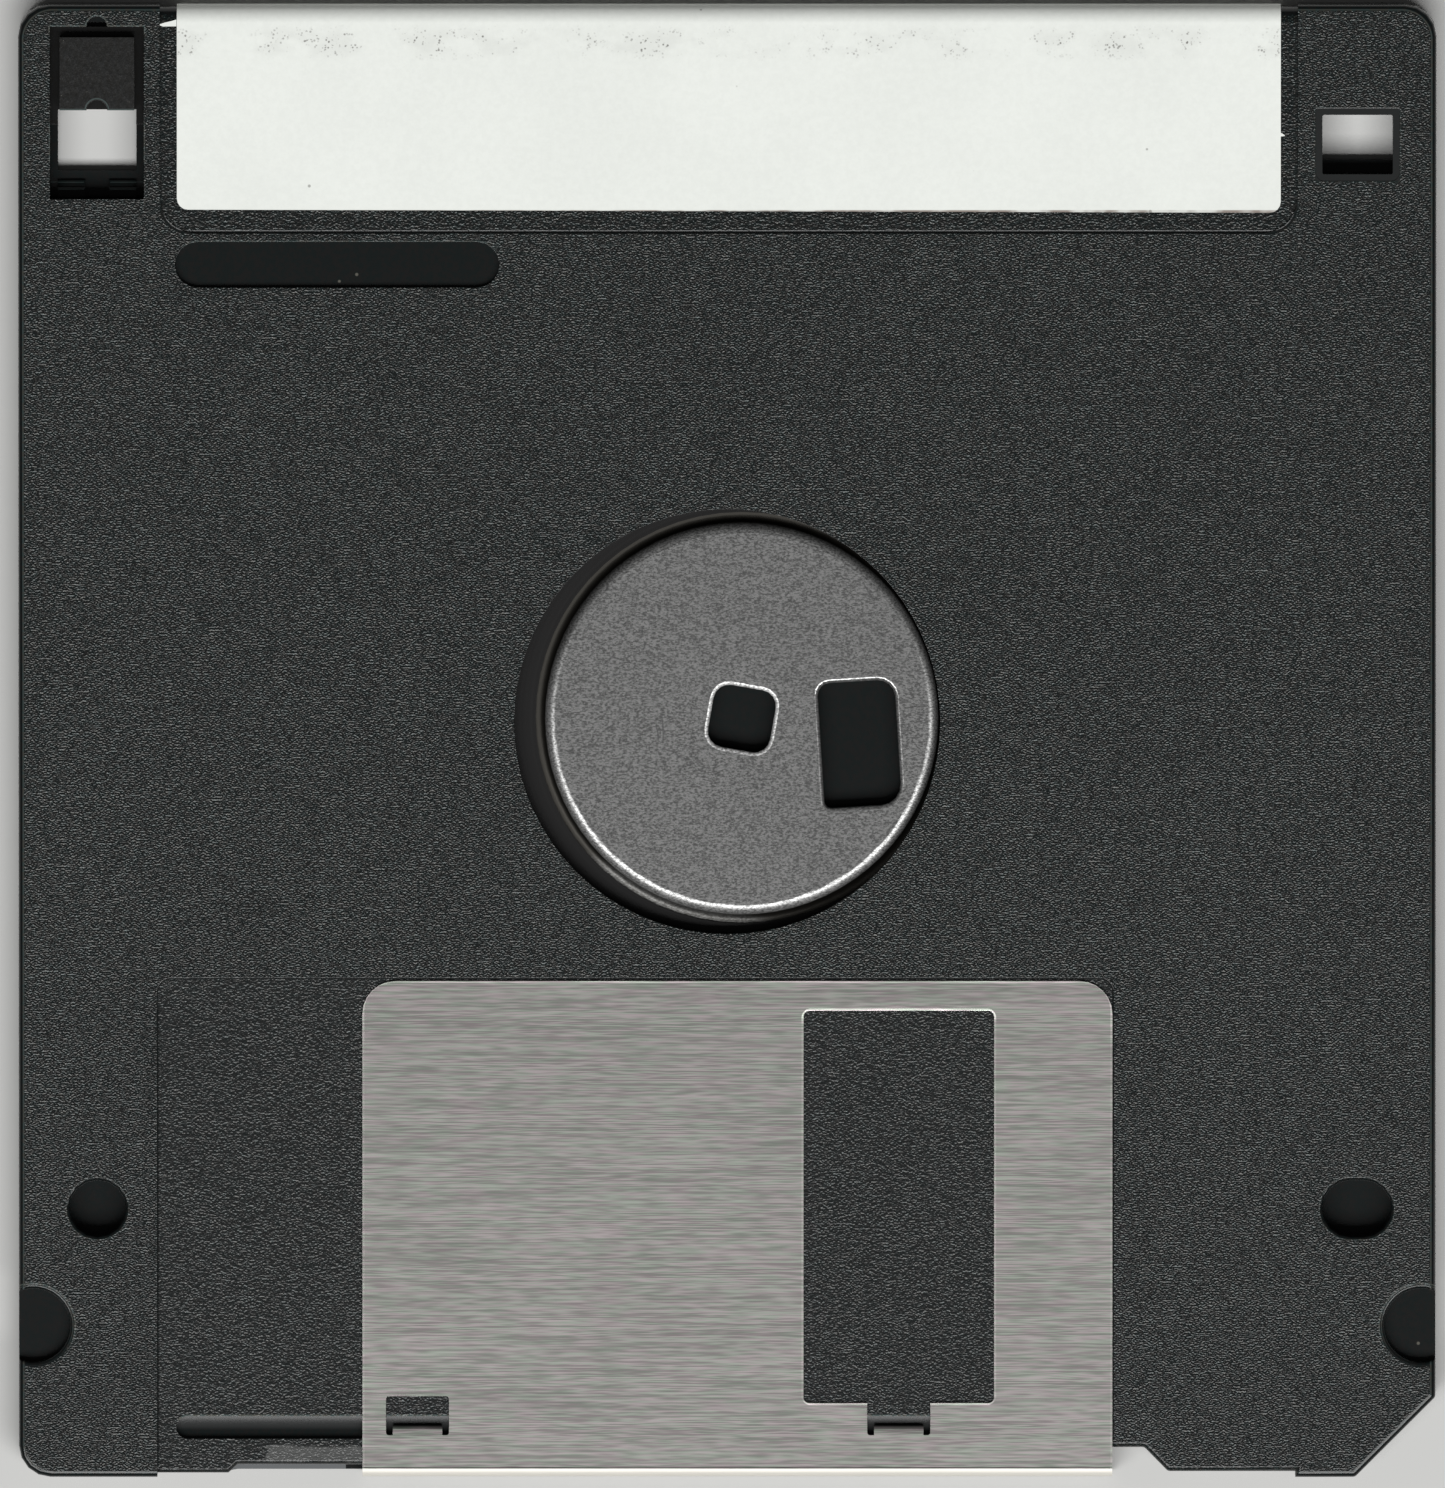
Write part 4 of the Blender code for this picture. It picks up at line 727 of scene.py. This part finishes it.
def lit_rims(edges, x, y):
    """Painted highlights: thin light lines along the moulded edges that face the lamp."""
    window, pocket = edges["window"], edges["pocket"]
    jambs = y.between(*JAMB_FOOT) * y.between(*JAMB_HEAD)
    arcs = pocket.near(0.33, 0.06, 0.02).highest(pocket.near(0.19, 0.05, 0.02) * 0.6)
    rims = window.near(0.05, 0.07, 0.02) * y.between(*WINDOW_TOP) * 0.75
    for rim in (
        window.near(0.03, 0.05, 0.02) * jambs * 0.6,
        edges["recess"].near(0.03, 0.06, 0.02) * y.between(*LONG_RECESS_TOP) * 0.6,
        edges["groove"].near(0.04, 0.08, 0.04) * y.between(*GROOVE_TOP),
        arcs * (y - abs(x) * 0.5).between(-60.5, -57.5) * 0.75,
        edges["pin"].near(0.2, 0.05, 0.02) * 0.3,
        edges["density"].near(0.03, 0.05, 0.02) * 0.2,
    ):
        rims = rims.highest(rim)
    return rims


def grain_light(made, place, size):
    """The grain's bumps, and a painted highlight on the side of each bump that faces the shutter's
    end, where the lamp stands.
    """
    bumps, above = (
        made.noise(made.stretch(spot, (0.75, 1.0, 1.0)), 1.0 / size, detail=0.0)
        for spot in (place, made.shifted(place, (0, 0.3 * size, 0)))
    )
    broken = made.noise(made.stretch(place, (1.6, 1.0, 1.0)), 0.8 / size, detail=1.0)
    patches = made.noise(place, 0.09)
    mottle = made.noise(place, 1.1, detail=3.0, roughness=0.6)
    lit = (above - bumps).between(0.0, 0.3) * broken.between(0.36, 0.62, 0.1, 1.7)
    lit = lit * patches.between(0.3, 0.7, 0.85, 1.1) * mottle.between(0.3, 0.7, 0.75, 1.2)
    return bumps, lit


def hub_side_wear(made, place, depth, edges, settings, base):
    """Adds dust on the sunk floors, the dull density frame and the rubbed patch."""
    x, y, _ = made.parts(place)
    dust = made.cells(place, 0.55).between(0.075, 0.04)
    base = made.blend(dust * depth.between(*SUNK_DEPTH) * 0.5, base, settings.dust)
    dull = edges["density"].between(0.0, -0.05) * depth.between(*DENSITY_FRAME_DEPTH)
    base = made.blend(dull * 0.8, base, settings.sunk)
    ragged = made.noise(place, 1.1, detail=4.0, roughness=0.65) - 0.5
    patch = made.inside(x + ragged * 1.8, y + ragged * 0.7, WORN_PATCH, 0.12)
    scuffs = made.noise(made.stretch(place, (0.4, 7.0, 1.0)), 1.6, detail=3.0)
    patch = patch * depth.between(*WORN_DEPTH) * scuffs.between(0.2, 0.6, 0.55, 1.0)
    return made.blend(patch, base, settings.worn)


def label_side_marks(made, x, y, z, settings, base):
    """Adds a painted reflection of the lamp on the ledge under the shutter's bend, and painted
    highlight lines along the window's sill.
    """
    # Painted reflection of the lamp on the ledge
    ledge = made.inside(x, y, REFLECTING_LEDGE, 0.02) * z.between(*LEDGE_HEIGHT)
    base = made.blend(ledge * 0.95, base, settings.ledge_reflection)
    # Painted highlight lines along the window's sill
    aside = abs(x - SLIDE_WINDOW[0]) - 1.92
    upper, lower = (y.near(line, 0.05, 0.02) for line in SILL_LINES)
    sill = upper.highest(lower) * aside.between(-1.1, -1.06) * aside.between(1.02, 0.98)
    return made.blend(sill * 0.4, base, settings.painted_gleam)


def slide_finish(settings):
    """The write-protect slide: smooth black plastic with faint mould lines, specks and painted
    highlights along its rims.
    """
    made = Finish("smooth_black_slide_plastic")
    place = made.place()
    x, y, z = made.parts(place)
    fine = made.noise(made.stretch(place, (1.0, 0.35, 1.0)), 5.0, detail=3.0, roughness=0.6)
    lines = made.noise(made.stretch(place, (6.0, 0.1, 0.1)), 1.0)
    specks = made.cells(place, 1.4).between(0.06, 0.03)
    base = made.blend(fine.between(0.35, 0.65), settings.slide, settings.plastic_warm)
    base = made.blend(specks * 0.5, base, settings.specks)
    face = z.between(*SLIDE_FACE_HEIGHT)
    # Painted highlights along the thumb hole's rim and the slide's top edge
    thumb = made.beyond(x, y, SLIDE_THUMB_HOLE)
    top_edge = y.near(SLIDE_STEP, 0.06, 0.02) * thumb.between(0, 0.05)
    rims = thumb.near(0.03, 0.06, 0.02).highest(top_edge)
    base = made.blend(rims * face * 0.8, base, settings.painted_gleam)
    normal = made.bump((fine + lines * 0.5) * face, 0.00002)
    rough = settings.smoothness + face * 0.06 + fine * 0.03
    return made.set(base_color=base, roughness=rough, normal=normal, specular_ior_level=0.32)


def brushed_finish(settings):
    """Steel brushed from side to side, with fine streaks of many lengths, painted highlights on
    its edges and bend, and a painted shade line at the fold.
    """
    made = Finish("brushed_shutter_steel")
    place = made.place()
    x, y, z = made.parts(place)
    row = ((y + z) * (MM / settings.brushing)).floor()
    long, short, tints = (
        made.noise(made.joined(x * along, row * step), 1.0, detail=0.0)
        for along, step in (LONG_MARKS, SHORT_MARKS, TINTED_MARKS)
    )
    broad = made.noise(made.stretch(place, (0.06, 1.1, 1.0)), 1.0)
    streaks = long * 0.55 + short * 0.45
    light = streaks.between(0.34, 0.66, 0.74, 1.26) * broad.between(0.3, 0.7, 0.96, 1.04)
    metal = made.blend(tints.between(0.4, 0.6), settings.shutter, settings.shutter_tint)
    base = made.shade(metal, light)
    low, high = SHUTTER_LOW / MM, SHUTTER_HIGH / MM
    centre = ((low.x + high.x) / 2, high.y - LEAF_LENGTH / 2)
    leaf = made.beyond(x, y, (*centre, high.x - low.x, LEAF_LENGTH, LEAF_CORNER))
    # Painted highlights along the leaf's and the window's sheared edges
    rim = leaf.near(-0.06, 0.09, 0.05) * y.between(*LEAF_TOP, 0.1, 0.4)
    ends = y.between(*SHUTTER_WINDOW_TOP).highest(y.between(*SHUTTER_WINDOW_FOOT, 0.0, 0.6))
    window = made.beyond(x, y, SHUTTER_WINDOW).near(0.06, 0.09, 0.05)
    rim = rim.highest(window * ends.highest(0.15))
    # Painted shade: a dark line along the fold, above the bend
    fold = y.near(FOLD_SHADE_LINE, 0.07, 0.03)
    bend = y.between(*BEND_START) * z.between(*BEND_HEIGHT)
    base = made.shade(base, 1.0 + rim * 2.0 - fold * 0.6)
    # Painted highlight: the bend is mixed towards a near-white colour
    base = made.blend(bend * 0.75, base, settings.bend_highlight)
    rough = settings.shutter_roughness + (short - 0.5) * 0.02 + bend * 0.3
    return made.set(base_color=base, metallic=0.8 - bend * 0.4, roughness=rough)


def hub_finish(settings):
    """Dull pressed steel with a fine even grain, a few hairline scratches, painted highlights on
    its rims, and painted shade at the foot of its wall.
    """
    made = Finish("matte_hub_steel")
    place = made.place()
    x, y, z = made.parts(place)
    grain = made.noise(made.stretch(place, (0.7, 1.3, 1.0)), 8.0, roughness=0.65)
    coarse = made.noise(place, 1.6)
    middle = (HUB_LOW + HUB_HIGH) / 2 / MM
    aside_x = x - middle.x
    aside_y = y - middle.y
    around = (aside_x * aside_x + aside_y * aside_y).root()
    near_hole = around.between(*NEAR_CENTRE_HOLE)
    off_face = z.between(*HUB_ROLL_HEIGHT)
    # Painted highlight on the rolled edge and everything below the face, stronger towards the lamp
    # and much stronger round the centre hole's rim
    lit_side = aside_y.between(6.0, 0.0, 0.6, 1.8)
    base = made.shade(settings.hub, grain.between(0.34, 0.66, 0.5, 1.5))
    base = made.shade(base, 1.0 + off_face * (lit_side + near_hole * 2.8))
    # The foot of the wall: a brown glue line darkened all round as painted shade, left lighter on
    # the lamp's side as a painted lit strip
    foot = z.between(*HUB_FOOT_HEIGHT) * around.between(*HUB_WALL)
    painted_lit_strip = (aside_x * 0.34 + aside_y * 0.94).between(-11.2, -12.2)
    base = made.blend(foot * (1.0 - painted_lit_strip * 0.22), base, settings.glue_and_shade)
    base = made.blend(hub_scratches(made, place) * 0.7, base, settings.scratch)
    slot = (aside_x - 7.2).between(-3.2, -3.0) * around.between(*NEAR_DRIVE_SLOT)
    rolled = off_face * (1.0 - slot)
    rough = settings.hub_roughness + (coarse - 0.5) * 0.02 + rolled * (0.16 + near_hole * 0.2)
    return made.set(base_color=base, metallic=0.8, roughness=rough)


def hub_scratches(made, place):
    """1 on the hub's hairline scratches and 0 beside them."""
    x, y, _ = made.parts(place)
    wave = (made.noise(place, 0.8, detail=1.0) - 0.5) * 0.3
    scratches = 0.0
    for centre_x, centre_y, long, turn in SCRATCHES:
        cos, sin = math.cos(turn), math.sin(turn)
        aside = abs((x - centre_x) * cos + (y - centre_y) * sin + wave)
        along = abs((y - centre_y) * cos - (x - centre_x) * sin)
        scratch = aside.between(0.07, 0.04) * along.between(long / 2, long / 2 - 0.4)
        scratches = scratch + scratches
    return scratches


def paper_finish(settings):
    """Coated paper: faint fibres, dirt near the fold, and a brown line along its lower edge."""
    made = Finish("label_paper")
    place = made.place()
    _, y, z = made.parts(place)
    fibres = made.noise(place, 2.6, detail=4.0, roughness=0.65)
    clouds = made.noise(place, 0.12)
    base = made.shade(settings.paper, fibres.between(0.3, 0.7, 0.975, 1.02))
    base = made.shade(base, clouds.between(0.3, 0.7, 0.98, 1.01))
    end = LABEL_HIGH.y / MM
    band = y.near(end - DIRT_BAND_MIDDLE, *DIRT_BAND_HALF)
    clusters = made.noise(made.stretch(place, (1.0, 1.6, 1.0)), 0.3, detail=3.0)
    specks = made.cells(place, 5.0).between(0.5, 0.2) * made.noise(place, 2.3).between(0.5, 0.62)
    dirt = (specks + 0.1) * band * clusters.between(0.44, 0.6)
    stray = made.cells(place, 0.33).between(0.045, 0.025)
    base = made.blend((dirt * 0.85).highest(stray * 0.6), base, settings.dirt)
    # A brown line along the paper's lower edge
    foot = (y - (end - LABEL_LENGTH)).between(0.14, 0.06) * z.between(*LABEL_FACE_HEIGHT)
    brown_edge = foot * made.noise(place, 0.7).between(0.35, 0.6, 0.2, 0.8)
    base = made.blend(brown_edge, base, settings.brown_edge)
    height = fibres * 0.7 + made.noise(place, 9.0) * 0.3
    normal = made.bump(height, 0.000006)
    return made.set(base_color=base, roughness=0.72 + (fibres - 0.5) * 0.1, normal=normal)


def film_finish(settings):
    """Coated magnetic film: dark brown and smooth, with very fine rings."""
    made = Finish("brown_film_coating")
    middle = (HUB_LOW + HUB_HIGH) / 2
    x, y, _ = made.parts(made.place((middle.x, middle.y, 0)))
    around = (x * x + y * y).root()
    rings = made.noise(made.joined(around), 3.0, detail=3.0, roughness=0.7)
    base = made.shade(settings.film, rings.between(0.3, 0.7, 0.85, 1.15))
    return made.set(base_color=base, roughness=0.2 + rings * 0.05, specular_ior_level=0.3)


def cloth_finish(settings):
    """Non-woven liner cloth: matted fibres with small bonded dots."""
    made = Finish("white_liner_cloth")
    place = made.place()
    fibres = made.noise(place, 4.0, detail=5.0, roughness=0.7, distortion=1.2)
    dots = made.cells(place, 0.9, randomness=0.15).between(0.32, 0.2)
    base = made.shade(settings.liner, fibres.between(0.25, 0.75, 0.82, 1.05))
    normal = made.bump(fibres - dots * 0.5, 0.00008)
    return made.set(base_color=base, roughness=0.95, normal=normal)


def clear_finish(name, tint):
    """A thin plastic or glue with a faintly uneven surface."""
    made = Finish(name)
    clouds = made.noise(made.place(), 0.8, detail=3.0)
    base = made.shade(tint, clouds.between(0.3, 0.7, 0.9, 1.08))
    normal = made.bump(clouds, 0.00001)
    return made.set(base_color=base, roughness=0.35 + clouds * 0.1, normal=normal)


def wire_finish(settings):
    """Drawn spring wire with fine marks along it."""
    made = Finish("spring_wire")
    marks = made.noise(made.place(), 7.0, detail=3.0, roughness=0.6)
    base = made.shade(settings.wire, marks.between(0.3, 0.7, 0.85, 1.12))
    normal = made.bump(marks, 0.000005)
    return made.set(base_color=base, metallic=1.0, roughness=0.25 + marks * 0.12, normal=normal)


# Pieces


class CARTRIDGE_OT_hub_side_shell(bpy.types.Operator):
    """Dresses the half of the case that the hub shows through"""

    bl_idname = "cartridge.hub_side_shell"
    bl_label = "Hub-side shell"

    def execute(self, context):
        """Flattens the density hole's frame, rounds the moulded edges and grains the faces."""
        case = context.scene.cartridge_case
        bm = welded("hub_side_shell")
        low, high = FACE - DENSITY_FRAME_MOST, FACE - DENSITY_FRAME_LEAST
        for vert in bm.verts:
            if on_density_frame(vert.co) and low < vert.co.z < high:
                vert.co.z = FACE - DENSITY_FRAME_SINK
        seam = (CASE_LOW.z + CASE_HIGH.z) / 2
        soften(bm, case.edge, lambda a, b: min(a.z, b.z) > seam and not on_density_frame(a))
        finish = plastic_finish("black_textured_plastic", case)
        piece = even(solid("moulded_hub_side_shell", bm, finish, "case"))
        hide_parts("hub_side_shell")
        return {"FINISHED"}


class CARTRIDGE_OT_label_side_shell(bpy.types.Operator):
    """Dresses the half of the case that carries the front of the label"""

    bl_idname = "cartridge.label_side_shell"
    bl_label = "Label-side shell"

    def execute(self, context):
        """Rounds the moulded edges and grains the faces."""
        case = context.scene.cartridge_case
        bm = welded("label_side_shell")
        soften(bm, case.edge)
        finish = plastic_finish("black_textured_plastic_label_side", case, underside=True)
        name = "moulded_label_side_shell"
        piece = even(solid(name, bm, finish, "case"))
        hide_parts("label_side_shell")
        return {"FINISHED"}


class CARTRIDGE_OT_slide(bpy.types.Operator):
    """Dresses the write-protect slide"""

    bl_idname = "cartridge.slide"
    bl_label = "Write-protect slide"

    def execute(self, context):
        """Rounds the slide's edges and eases its arms where they pass the guide lugs."""
        case = context.scene.cartridge_case
        bm = welded("write_protect_tab")
        for vert in bm.verts:
            across = vert.co.x - SLIDE_WINDOW[0] * MM
            if abs(abs(across) - ARM_FACE) < ARM_FACE_SLACK and vert.co.z < ARM_TOP:
                vert.co.x += math.copysign(ARM_EASE, across)
        soften(bm, case.edge)
        piece = even(solid("moulded_slide", bm, slide_finish(case), "tab"))
        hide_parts("write_protect_tab")
        return {"FINISHED"}


class CARTRIDGE_OT_shutter(bpy.types.Operator):
    """Dresses the folded shutter"""

    bl_idname = "cartridge.shutter"
    bl_label = "Shutter"

    def execute(self, context):
        """Rounds the sheared edges and brushes the sheet."""
        steel = context.scene.cartridge_steel
        bm = welded("shutter")
        soften(bm, steel.edge)
        finish = brushed_finish(steel)
        piece = even(solid("folded_shutter", bm, finish, "shutter"))
        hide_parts("shutter")
        return {"FINISHED"}


class CARTRIDGE_OT_hub(bpy.types.Operator):
    """Dresses the stamped hub"""

    bl_idname = "cartridge.hub"
    bl_label = "Hub"

    def execute(self, context):
        """Smooths the rolled edge and the drive holes' rims."""
        steel = context.scene.cartridge_steel
        bm = welded("drive_hub")
        piece = even(solid("stamped_hub", bm, hub_finish(steel), "rotor"))
        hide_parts("drive_hub")
        return {"FINISHED"}


class CARTRIDGE_OT_film(bpy.types.Operator):
    """Finishes the magnetic film and its bonding ring"""

    bl_idname = "cartridge.film"
    bl_label = "Film"

    def execute(self, context):
        """Gives both solids their finish."""
        soft = context.scene.cartridge_soft
        dress("magnetic_film", film_finish(soft))
        dress("hub_adhesive_ring", clear_finish("clear_adhesive", soft.adhesive))
        return {"FINISHED"}


class CARTRIDGE_OT_label(bpy.types.Operator):
    """Dresses the paper label and the torn bits beside it"""

    bl_idname = "cartridge.label"
    bl_label = "Label"

    def execute(self, context):
        """Smooths the fold and lays the scrap and the nick in the recess."""
        soft = context.scene.cartridge_soft
        finish = paper_finish(soft)
        piece = even(solid("paper_label", welded("label"), finish, "case"))
        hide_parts("label")

        bm = bmesh.new()
        low = LABEL_HIGH.z - SCRAP_DEPTH
        edges = []
        for corners in (TORN_SCRAP, LIFTED_NICK):
            outline = [bm.verts.new((px * MM, py * MM, low)) for px, py in corners]
            edges += [bm.edges.new(ends) for ends in zip(outline, outline[1:] + outline[:1])]
        sheet = bmesh.ops.triangle_fill(bm, edges=edges, use_beauty=True)["geom"]
        faces = [f for f in sheet if isinstance(f, bmesh.types.BMFace)]
        grown = bmesh.ops.extrude_face_region(bm, geom=faces)["geom"]
        verts = [v for v in grown if isinstance(v, bmesh.types.BMVert)]
        bmesh.ops.translate(bm, vec=(0, 0, SCRAP_THICKNESS), verts=verts)
        bmesh.ops.recalc_face_normals(bm, faces=bm.faces)
        solid("torn_label_scrap", bm, finish, "case")
        return {"FINISHED"}


class CARTRIDGE_OT_liners(bpy.types.Operator):
    """Lays the two liner sheets inside the case"""

    bl_idname = "cartridge.liners"
    bl_label = "Liners"

    def execute(self, context):
        """Cuts both rings out of cloth, with the gap for the heads."""
        soft = context.scene.cartridge_soft
        finish = cloth_finish(soft)
        thick = soft.liner_thickness
        for node, under in (
            ("label_side_liner", "label_side_shell"),
            ("hub_side_liner", "magnetic_film"),
        ):
            low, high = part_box(node)
            outer = (high.x - low.x) / 2
            inner = liner_hole(node)
            bm = liner_ring(inner, outer)
            lay(bm, high.y - outer, low.z + (high.z - low.z - thick) / 2, thick)
            sheet = solid(node + "_cloth", bm, finish, "case")
            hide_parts(node)
        return {"FINISHED"}


class CARTRIDGE_OT_spring(bpy.types.Operator):
    """Finishes the shutter's spring and the liner's lifter"""

    bl_idname = "cartridge.spring"
    bl_label = "Spring and lifter"

    def execute(self, context):
        """Smooths the wire and finishes the leaf."""
        steel = context.scene.cartridge_steel
        soft = context.scene.cartridge_soft
        bm = copied("shutter_spring")
        piece = solid("wound_spring", bm, wire_finish(steel), "case")
        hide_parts("shutter_spring")
        dress("liner_lifter", clear_finish("lifter_film", soft.lifter))
        return {"FINISHED"}


class CARTRIDGE_OT_stage(bpy.types.Operator):
    """Sets the floor, the lamp, the sky and the camera"""

    bl_idname = "cartridge.stage"
    bl_label = "Stage"

    def execute(self, context):
        """Lays the floor, hangs a long soft lamp and aims the camera."""
        stage = context.scene.cartridge_stage
        self.lay_floor(context, stage)
        self.hang_lamp(context, stage)
        self.aim_camera(context, stage)
        context.scene.view_settings.view_transform = "Standard"
        return {"FINISHED"}

    def lay_floor(self, context, stage):
        """Lays a pale disc under the cartridge."""
        bm = bmesh.new()
        bmesh.ops.create_circle(bm, cap_ends=True, radius=FLOOR_RADIUS, segments=ROUND_SEGMENTS)
        bmesh.ops.translate(bm, vec=(0, 0, CAD_LOW.z), verts=bm.verts)
        mesh = bpy.data.meshes.new("floor")
        bm.to_mesh(mesh)
        bm.free()
        made = Finish("plain_pale_floor")
        made.set(base_color=stage.floor, roughness=0.9, specular_ior_level=0.1)
        mesh.materials.append(made.material)
        floor = bpy.data.objects.new("floor", mesh)
        context.collection.objects.link(floor)

    def hang_lamp(self, context, stage):
        """Hangs a long lamp towards the shutter's end, under a faint white sky."""
        world = bpy.data.worlds.new("studio")
        context.scene.world = world
        world.use_nodes = True
        sky = world.node_tree.nodes["Background"]
        sky.inputs["Color"].default_value = (1, 1, 1, 1)
        sky.inputs["Strength"].default_value = stage.fill

        lamp = bpy.data.lights.new("long_lamp", "AREA")
        lamp.shape = "RECTANGLE"
        lamp.size, lamp.size_y = LAMP_SIZE
        lamp.energy = stage.key
        key = bpy.data.objects.new("long_lamp", lamp)
        context.collection.objects.link(key)
        key.location = LAMP_PLACE
        key.rotation_euler = (-key.location).to_track_quat("-Z", "Y").to_euler()

    def aim_camera(self, context, stage):
        """Stands the camera far off and leans it a little to the label end."""
        camera = bpy.data.cameras.new("camera")
        camera.sensor_width = SENSOR_WIDTH
        camera.lens = camera.sensor_width * stage.distance / stage.view_height
        camera.clip_end = FARTHEST_SEEN
        eye = bpy.data.objects.new("camera", camera)
        context.collection.objects.link(eye)
        aim = Vector((-stage.aside, -stage.down, FACE))
        eye.rotation_euler = (-stage.tilt, 0, 0)
        back = Vector((0, math.sin(stage.tilt), math.cos(stage.tilt)))
        eye.location = aim + back * stage.distance
        context.scene.camera = eye


class CARTRIDGE_PT_panel(bpy.types.Panel):
    """The cartridge's sizes, colours and pieces"""

    bl_label = "Cartridge"
    bl_idname = "CARTRIDGE_PT_panel"
    bl_space_type = "VIEW_3D"
    bl_region_type = "UI"
    bl_category = "Cartridge"

    def draw(self, context):
        """Lists the settings and the operators."""
        for name, group in SETTINGS.items():
            settings = getattr(context.scene, name)
            box = self.layout.box()
            box.label(text=group.__doc__)
            for key in group.__annotations__:
                box.prop(settings, key)
        for operator in OPERATORS:
            self.layout.operator(operator.bl_idname)


SETTINGS = {
    "cartridge_case": CaseSettings,
    "cartridge_steel": SteelSettings,
    "cartridge_soft": SoftSettings,
    "cartridge_stage": StageSettings,
}

OPERATORS = (
    CARTRIDGE_OT_stage,
    CARTRIDGE_OT_label_side_shell,
    CARTRIDGE_OT_hub_side_shell,
    CARTRIDGE_OT_slide,
    CARTRIDGE_OT_shutter,
    CARTRIDGE_OT_hub,
    CARTRIDGE_OT_film,
    CARTRIDGE_OT_label,
    CARTRIDGE_OT_liners,
    CARTRIDGE_OT_spring,
)


def register():
    """Registers the classes and puts their settings on the scene."""
    for group in SETTINGS.values():
        bpy.utils.register_class(group)
    for operator in OPERATORS:
        bpy.utils.register_class(operator)
    bpy.utils.register_class(CARTRIDGE_PT_panel)
    for name, group in SETTINGS.items():
        setattr(bpy.types.Scene, name, PointerProperty(type=group))


def unregister():
    """Takes the settings and the classes away again."""
    for name in SETTINGS:
        delattr(bpy.types.Scene, name)
    bpy.utils.unregister_class(CARTRIDGE_PT_panel)
    for operator in reversed(OPERATORS):
        bpy.utils.unregister_class(operator)
    for group in SETTINGS.values():
        bpy.utils.unregister_class(group)


def main():
    """Registers the add-on and makes every piece."""
    register()
    for operator in OPERATORS:
        group, name = operator.bl_idname.split(".")
        getattr(getattr(bpy.ops, group), name)()


if __name__ == "__main__":
    main()
